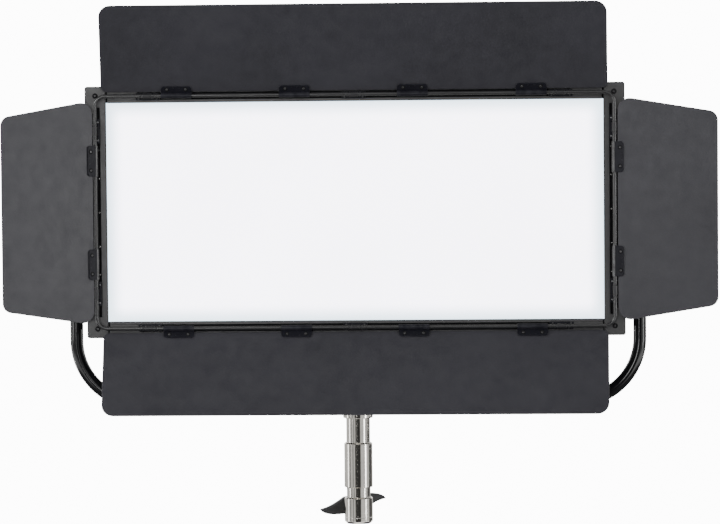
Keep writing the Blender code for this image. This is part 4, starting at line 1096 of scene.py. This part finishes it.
def make_usb_port():
    seat = on_panel(USB_AT)
    outside = rectangle(13.2, 7.2, 0.5)
    mouth = rectangle(11.6, 5.6, 0.3)
    tongue = rectangle(9, 1.7, 0.1, (0, 0.95))
    meshes = [
        extrude(outside, -10.05, 0, BRIGHT_STEEL, seat, 0.15, [mouth]),
        extrude(outside, -12, -10, BRIGHT_STEEL, seat, 0.15),
        extrude(tongue, -11, -1, BLACK_PLASTIC, seat, 0.15),
    ]
    for step in range(4):
        contact = rectangle(1, 0.2, 0, ((step - 1.5) * 2, 0.12))
        meshes.append(extrude(contact, -9, -1.6, CONTACT_GOLD, seat, 0.03, steps=1))
    assemble("usb_socket", "head", meshes, ["usb_port"])


# Tilt pivots ---------------------------------------------------------------------------


def make_pivot(label, side):
    outwards = move(0, 0, TILT_Z) @ turn_about("Y", 90 * side)
    start = 263.3
    washer_end = YOKE_HALF_WIDTH - EYE_THICKNESS / 2 - GAP
    washer_start = washer_end - 2.4
    boss_end = washer_start - GAP
    boss = [
        (0, start + 1.5), (5.3, start + 1.5), (5.3, boss_end), (14, boss_end), (14, start + 3.5),
        (21, start + 3), (21, start), (0, start),
    ]
    softness = [0, 0, 0.3, 0.8, 0.6, 0.7, 0.2, 0]
    meshes = [lathe(boss, BLACK_ALUMINIUM, outwards, 96, softness)]
    for angle in range(45, 360, 90):
        spot = outwards @ turn_about("Z", angle) @ move(17.4, 0, start + 2.9)
        meshes.append(screw(1.9, 1.0, BLACK_STEEL, spot))
    assemble(f"pivot_flange_{label}", "head", meshes, [f"pivot_boss_{label}"])
    ring = lathe(ring_section(5.3, 12, washer_start, washer_end), FIBRE, outwards, 80, 0.3)
    assemble(f"friction_ring_{label}", "head", [ring], [f"friction_washer_{label}"])


def make_tilt_knob(label, side):
    """A fluted hand knob on a steel stud, with a steel cap in its face."""
    outwards = move(0, 0, TILT_Z) @ turn_about("Y", 90 * side)
    start = YOKE_HALF_WIDTH + EYE_THICKNESS / 2 + GAP
    end = start + 22
    neck_end = start + 3
    radius = 18
    profile = [
        (0, end - 1.2), (9, end - 1.2), (10.5, end), (radius - 3, end), (radius, end - 3),
        (radius, neck_end + 3), (radius - 3, neck_end), (11, neck_end), (11, start), (0, start),
    ]

    def flutes(angle, height):
        depth = 0.11 if height > neck_end + 0.5 else 0
        return 1 - depth * (0.5 - 0.5 * math.cos(8 * angle)) ** 3

    softness = [0, 0.5, 0.8, 1.5, 2, 2, 1, 0.6, 0.4, 0]
    shank = [(0, start + 2), (4.8, start + 2), (4.8, 267), (4.2, 266.3), (0, 266.3)]
    cap = [(0, end - 0.3), (5.4, end - 0.3), (6.4, end - 1.3), (0, end - 1.3)]
    meshes = [
        lathe(profile, BLACK_PLASTIC, outwards, 128, softness, flutes),
        lathe(shank, BRIGHT_STEEL, outwards, 40),
        lathe(cap, BRIGHT_STEEL, outwards, 48, 0.3),
    ]
    knob = f"tilt_knob_{label}"
    assemble(f"tilt_grip_{label}", knob, meshes, [knob], 30)


# Door frame ----------------------------------------------------------------------------


def foot_seats():
    """Where the rod is held: X runs along the rod there, and Z points away from the light."""
    seats = []
    for side in (-1, 1):
        level = turn_about("Y", 90 - 90 * side)
        upright = turn_about("Y", 90 * side)
        seats += [level @ move(x, 0, LOOP[1] / 2) for x in (-205, 0, 205)]
        seats += [upright @ move(z, 0, LOOP[0] / 2) for z in (-81, 81)]
    return seats


def make_foot(seat, screw_look):
    """A base plate with a strap bent over the rod, and a screw at each end."""
    base_y = -38.3
    plate = rectangle(24, 7.2, 0.8, (0, -0.6))
    meshes = [extrude(plate, -base_y, -base_y + 1.5, HINGE_STEEL, seat @ ON_FRONT)]
    outer, low_y = ROD_RADIUS + 0.35, base_y - 0.5
    strap = [(low_y, outer), *arc((ROD_Y, 0), outer, 90, 270, 10), (low_y, -outer)]
    meshes.append(extrude(strap, -4.6, 4.6, BLACK_STEEL, seat @ ALONG_X))
    bend = arc((ROD_Y, 0), ROD_RADIUS + 0.2, 100, 260, 8)
    rib = [(low_y, outer * 0.6), *bend, (low_y, -outer * 0.6)]
    for side in (-1, 1):
        low, high = sorted((side * 5.6, side * 7.4))
        meshes.append(extrude(rib, low, high, BLACK_STEEL, seat @ ALONG_X, 0.2))
        spot = seat @ move(side * 9, base_y - 1.5, -2.6) @ ON_FRONT
        meshes.append(screw(0.9, 0.8, screw_look, spot))
    return meshes


def make_door_frame():
    half_x, half_z = LOOP[0] / 2, LOOP[1] / 2
    corners = [(-half_x, -half_z), (half_x, -half_z), (half_x, half_z), (-half_x, half_z)]
    outline = rounded(corners, LOOP_CORNER, 12)
    path = [(x, ROD_Y, z) for x, z in outline]
    meshes = [tube(path, ROD_RADIUS, ROD_PAINT, HEAD, True, 20)]
    for seat in foot_seats():
        upright = abs(seat.col[0].z) > 0.5
        meshes += make_foot(HEAD @ seat, DULL_STEEL if upright else BLACK_STEEL)
    assemble("door_frame_loop", "head", meshes, ["door_frame"])


# Doors ---------------------------------------------------------------------------------

LEAF_THICKNESS = 1.2
WIDE = {
    "size": (503, 500, 92),
    "corners": (6, 12),
    "offset": -3.7,
    "hinges": (-176, -58.5, 58.5, 176),
    "sleeves": HINGE_STEEL,
}
TALL = {
    "size": (223.2, 190.2, 102),
    "corners": (12, 10),
    "offset": 0.4,
    "hinges": (-51.5, 51.5),
    "sleeves": ROD_PAINT,
}


def make_leaf(label, stand, door):
    width_at_hinge, width_at_edge, depth = door["size"]
    at_hinge, at_edge = door["corners"]
    start = 3.5
    corners = [
        (-width_at_hinge / 2, start), (width_at_hinge / 2, start), (width_at_edge / 2, depth),
        (-width_at_edge / 2, depth),
    ]
    outline = rounded(corners, [at_hinge, at_hinge, at_edge, at_edge], 8)
    low = -door["offset"] - LEAF_THICKNESS
    sheet = extrude(outline, low, -door["offset"], SHADED_DOOR_PAINT, stand @ IN_BACK_FACE, 0.4)
    assemble(f"{label}_door_sheet", f"{label}_door", [sheet], [f"{label}_leaf"])


def make_hinge(label, index, x, stand, door):
    """A sleeve round the rod and a plate on the leaf, held by two screws and two rivets."""
    plate_y = -door["offset"] - LEAF_THICKNESS - GAP
    half, low, high = 15.25, 0.8, 9.3
    corners = [(x - half, low), (x + half, low), (x + half, high), (x - half, high)]
    outline = rounded(corners, [0.2, 0.2, 3, 3])
    front = plate_y - 1.2
    sleeve = ring_section(2.3, 2.8, -half, half)
    ring = ring_section(1.25, 2.15, -0.105, 0.145)
    dome = [(0, 0), (0.7, 0), (0.6, 0.25), (0, 0.4)]
    meshes = [
        extrude(outline, front, plate_y, HINGE_STEEL, stand @ IN_BACK_FACE, 0.35),
        lathe(sleeve, door["sleeves"], stand @ move(x, 0, 0) @ turn_about("Y", 90), 40, 0.2),
    ]
    for side in (-1, 1):
        spot = stand @ move(x + side * 9.3, front, 6) @ ON_FRONT
        # A dark ring of painted shade round each screw.
        meshes.append(lathe(ring, PAINTED_SHADE_AND_PRINT, spot, 32))
        meshes.append(screw(1.2, 0.6, ROD_PAINT, spot))
        rivet = stand @ move(x + side * 3, front, 7.6) @ ON_FRONT
        meshes.append(lathe(dome, HINGE_STEEL, rivet, 20))
    node = f"{label}_hinge_{index}"
    assemble(f"{node}_leaf_bracket", f"{label}_door", meshes, [node])


def make_doors():
    """At rest a door leans by what its joint's upper limit leaves short of half a turn."""
    ranges = {joint["name"]: joint.get("range_deg") for joint in frame["joints"]}
    half_x, half_z = LOOP[0] / 2, LOOP[1] / 2
    doors = (
        ("top", WIDE, (0, half_z), "X", 1, 0),
        ("bottom", WIDE, (0, -half_z), "X", -1, 180),
        ("left", TALL, (-half_x, 0), "Z", 1, -90),
        ("right", TALL, (half_x, 0), "Z", -1, 90),
    )
    for label, door, (x, z), rod, way, turn in doors:
        lean = 180 - ranges[f"{label}_swing"][1]
        stand = HEAD @ move(x, ROD_Y, z) @ turn_about(rod, way * lean) @ turn_about("Y", turn)
        make_leaf(label, stand, door)
        for index, x in enumerate(door["hinges"], 1):
            make_hinge(label, index, x, stand, door)


# Inside --------------------------------------------------------------------------------


def dress_inside():
    """The pieces inside the head keep their CAD shapes and take a finer finish."""
    inside = {
        "mixing_chamber": WHITE_PAINT,
        "led_board": BOARD_WHITE,
        "power_supply": SUPPLY_CASE,
        "driver_board": BOARD_GREEN,
        "control_board": BOARD_GREEN,
    }
    for node, look in inside.items():
        mesh = frame["nodes"][node].data
        mesh.materials.clear()
        mesh.materials.append(look)


# Studio --------------------------------------------------------------------------------

FLOOR_Z = -0.13
FLOOR_SIZE = 39
FLOOR_GLOW = 12.6
BACKDROP_RADIUS = 20
BACKDROP_GLOW = 12
HORIZON_GLOW = 0.75
BAND_GLOW = 2.6  # a little above and below the horizon
DIM_GLOW = 0.14
END_GLOW = 1.8  # overhead and underneath
GLOW_STEPS = (  # how the light changes between two heights of the view's direction
    (BAND_GLOW - HORIZON_GLOW, 0.18, 0.24),
    (DIM_GLOW - BAND_GLOW, 0.36, 0.46),
    (END_GLOW - DIM_GLOW, 0.88, 0.97),
)
FLAGS = (  # middle, half width and soft edge in degrees, and what's left of the light
    (-2, 20, 7, 0.05),
    (-42, 3, 5, 0.4),
    (-68, 4, 6, 0.4),
    (118, 18, 9, 0.12),
)
FLAG_HEIGHT = -0.22  # the middle of the flags, as a height of the view's direction
SOFTBOX_Z = 0.15  # the height of a softbox that doesn't rise


def stage_look(name, colour, strength):
    look, tree, shader = shader_of(name)
    feed(tree, shader, {"Roughness": 0.9, "Specular IOR Level": 0, "Emission Strength": strength})
    feed(tree, shader, {"Emission Color": (*colour, 1), "Base Color": (*colour, 1)})
    return look


def stage_object(name, bm, look, hidden_from):
    mesh = bpy.data.meshes.new(name)
    bm.to_mesh(mesh)
    bm.free()
    mesh.materials.append(look)
    thing = bpy.data.objects.new(name, mesh)
    bpy.context.scene.collection.objects.link(thing)
    for ray in hidden_from:
        setattr(thing, f"visible_{ray}", False)


ALL_BUT_CAMERA = ("diffuse", "glossy", "transmission", "shadow")


def stage_plane(name, width, height, matrix, look, hidden_from):
    bm = bmesh.new()
    bmesh.ops.create_grid(bm, x_segments=1, y_segments=1, size=0.5)
    bmesh.ops.scale(bm, vec=(width, height, 1), verts=bm.verts)
    bm.transform(matrix)
    stage_object(name, bm, look, hidden_from)


def softbox(name, azimuth, rise, distance, width, height, strength):
    """A panel of light facing the object. Azimuth 0 is the camera's side, positive to its right."""
    turn = turn_about("Z", azimuth) @ move(0, -distance, 0) @ turn_about("X", 90)
    aim = move(0, 0, SOFTBOX_Z + rise) @ turn
    look = stage_look(name, (1, 1, 1), strength)
    stage_plane(name, width, height, aim, look, ("camera", "shadow"))


def make_backdrop():
    """A bright surround that only the camera sees, so that it doesn't flood the object."""
    bm = bmesh.new()
    bmesh.ops.create_uvsphere(bm, u_segments=48, v_segments=24, radius=BACKDROP_RADIUS)
    bmesh.ops.reverse_faces(bm, faces=bm.faces)
    look = stage_look("backdrop", (1, 1, 1), BACKDROP_GLOW)
    stage_object("backdrop", bm, look, ALL_BUT_CAMERA)


def make_floor():
    look = stage_look("floor", (0.95, 0.95, 0.95), FLOOR_GLOW)
    stage_plane("floor", FLOOR_SIZE, FLOOR_SIZE, move(0, 0, FLOOR_Z), look, ALL_BUT_CAMERA)


def azimuth_band(tree, azimuth, middle, half_width, soft):
    """1 inside a band of azimuths, in degrees, falling to 0 over its soft edges."""
    away = distance_from(tree, azimuth, math.radians(middle))
    return fade(tree, away, math.radians(half_width), math.radians(half_width + soft))


def make_world():
    """A pale room, layered by elevation, with dark flags on the horizon in chosen directions."""
    world = bpy.data.worlds.new("studio")
    bpy.context.scene.world = world
    world.use_nodes = True
    tree = world.node_tree
    direction = add_node(tree, "ShaderNodeTexCoord").outputs["Generated"]
    x, y, z = add_node(tree, "ShaderNodeSeparateXYZ", {"Vector": direction}).outputs
    azimuth = maths(tree, "ARCTAN2", x, multiply(tree, y, -1))
    height = maths(tree, "ABSOLUTE", z)
    strength = HORIZON_GLOW
    for change, start, end in GLOW_STEPS:
        strength = maths(tree, "ADD", strength, spread(tree, height, 0, change, start, end))
    low = spread(tree, distance_from(tree, z, FLAG_HEIGHT), 1, 0, 0.26, 0.32)
    for middle, half_width, soft, left_over in FLAGS:
        flag = multiply(tree, azimuth_band(tree, azimuth, middle, half_width, soft), low)
        strength = multiply(tree, strength, spread(tree, flag, 1, left_over, 0, 1))
    feed(tree, tree.nodes["Background"], {"Color": (1, 1, 1, 1), "Strength": strength})


def light_the_studio():
    make_world()
    make_backdrop()
    make_floor()
    softbox("softbox_left", -88, 0.0, 3.0, 0.34, 1.4, 5)
    softbox("softbox_right", 64, 0.0, 3.0, 0.44, 1.2, 10.5)
    softbox("softbox_near_left", -62, 0.9, 1.7, 0.5, 0.5, 13)
    softbox("card_front", -12, 0.19, 3.2, 0.6, 0.92, 6)
    softbox("card_left", -60, 0.19, 3.2, 0.45, 0.92, 9)
    softbox("card_back_right", 110, 0.125, 3.2, 0.5, 1.05, 6)


CAMERA_AT = (0.1263, -3.0, 0.2845)
FOCAL_LENGTH = 149.1
PAN, TILT, ROLL = 2.346, -2.426, 0.511  # degrees, from a level view along +Y


def make_camera():
    lens = bpy.data.cameras.new("camera")
    lens.lens = FOCAL_LENGTH
    lens.sensor_width = 36
    lens.sensor_fit = "HORIZONTAL"
    lens.clip_start = 0.05
    lens.clip_end = 100
    camera = bpy.data.objects.new("camera", lens)
    aim = turn_about("Z", PAN) @ turn_about("X", TILT) @ turn_about("Y", ROLL)
    camera.matrix_world = move(*CAMERA_AT) @ aim @ turn_about("X", 90)
    bpy.context.scene.collection.objects.link(camera)
    bpy.context.scene.camera = camera


make_camera()
make_yoke()
make_saddle()
make_bolt()
make_spigot()
make_wing()
for the_label, the_side in (("left", -1), ("right", 1)):
    make_cheek(the_label, the_side)
    make_pivot(the_label, the_side)
    make_tilt_knob(the_label, the_side)
make_rail("top", 1)
make_rail("bottom", -1)
make_frame_screws()
make_painted_rod_shadows()
make_diffuser()
make_housing()
make_back_plate()
make_back_screws()
make_heatsinks()
make_safety_eye()
make_control_box()
make_control_panel()
make_panel_marks()
make_panel_screws()
make_display()
make_encoder_knob("dimmer_knob", DIMMER_AT)
make_encoder_knob("colour_knob", COLOUR_AT)
make_buttons()
make_switch()
make_power_inlet()
make_dmx_sockets()
make_usb_port()
make_door_frame()
make_doors()
dress_inside()
light_the_studio()
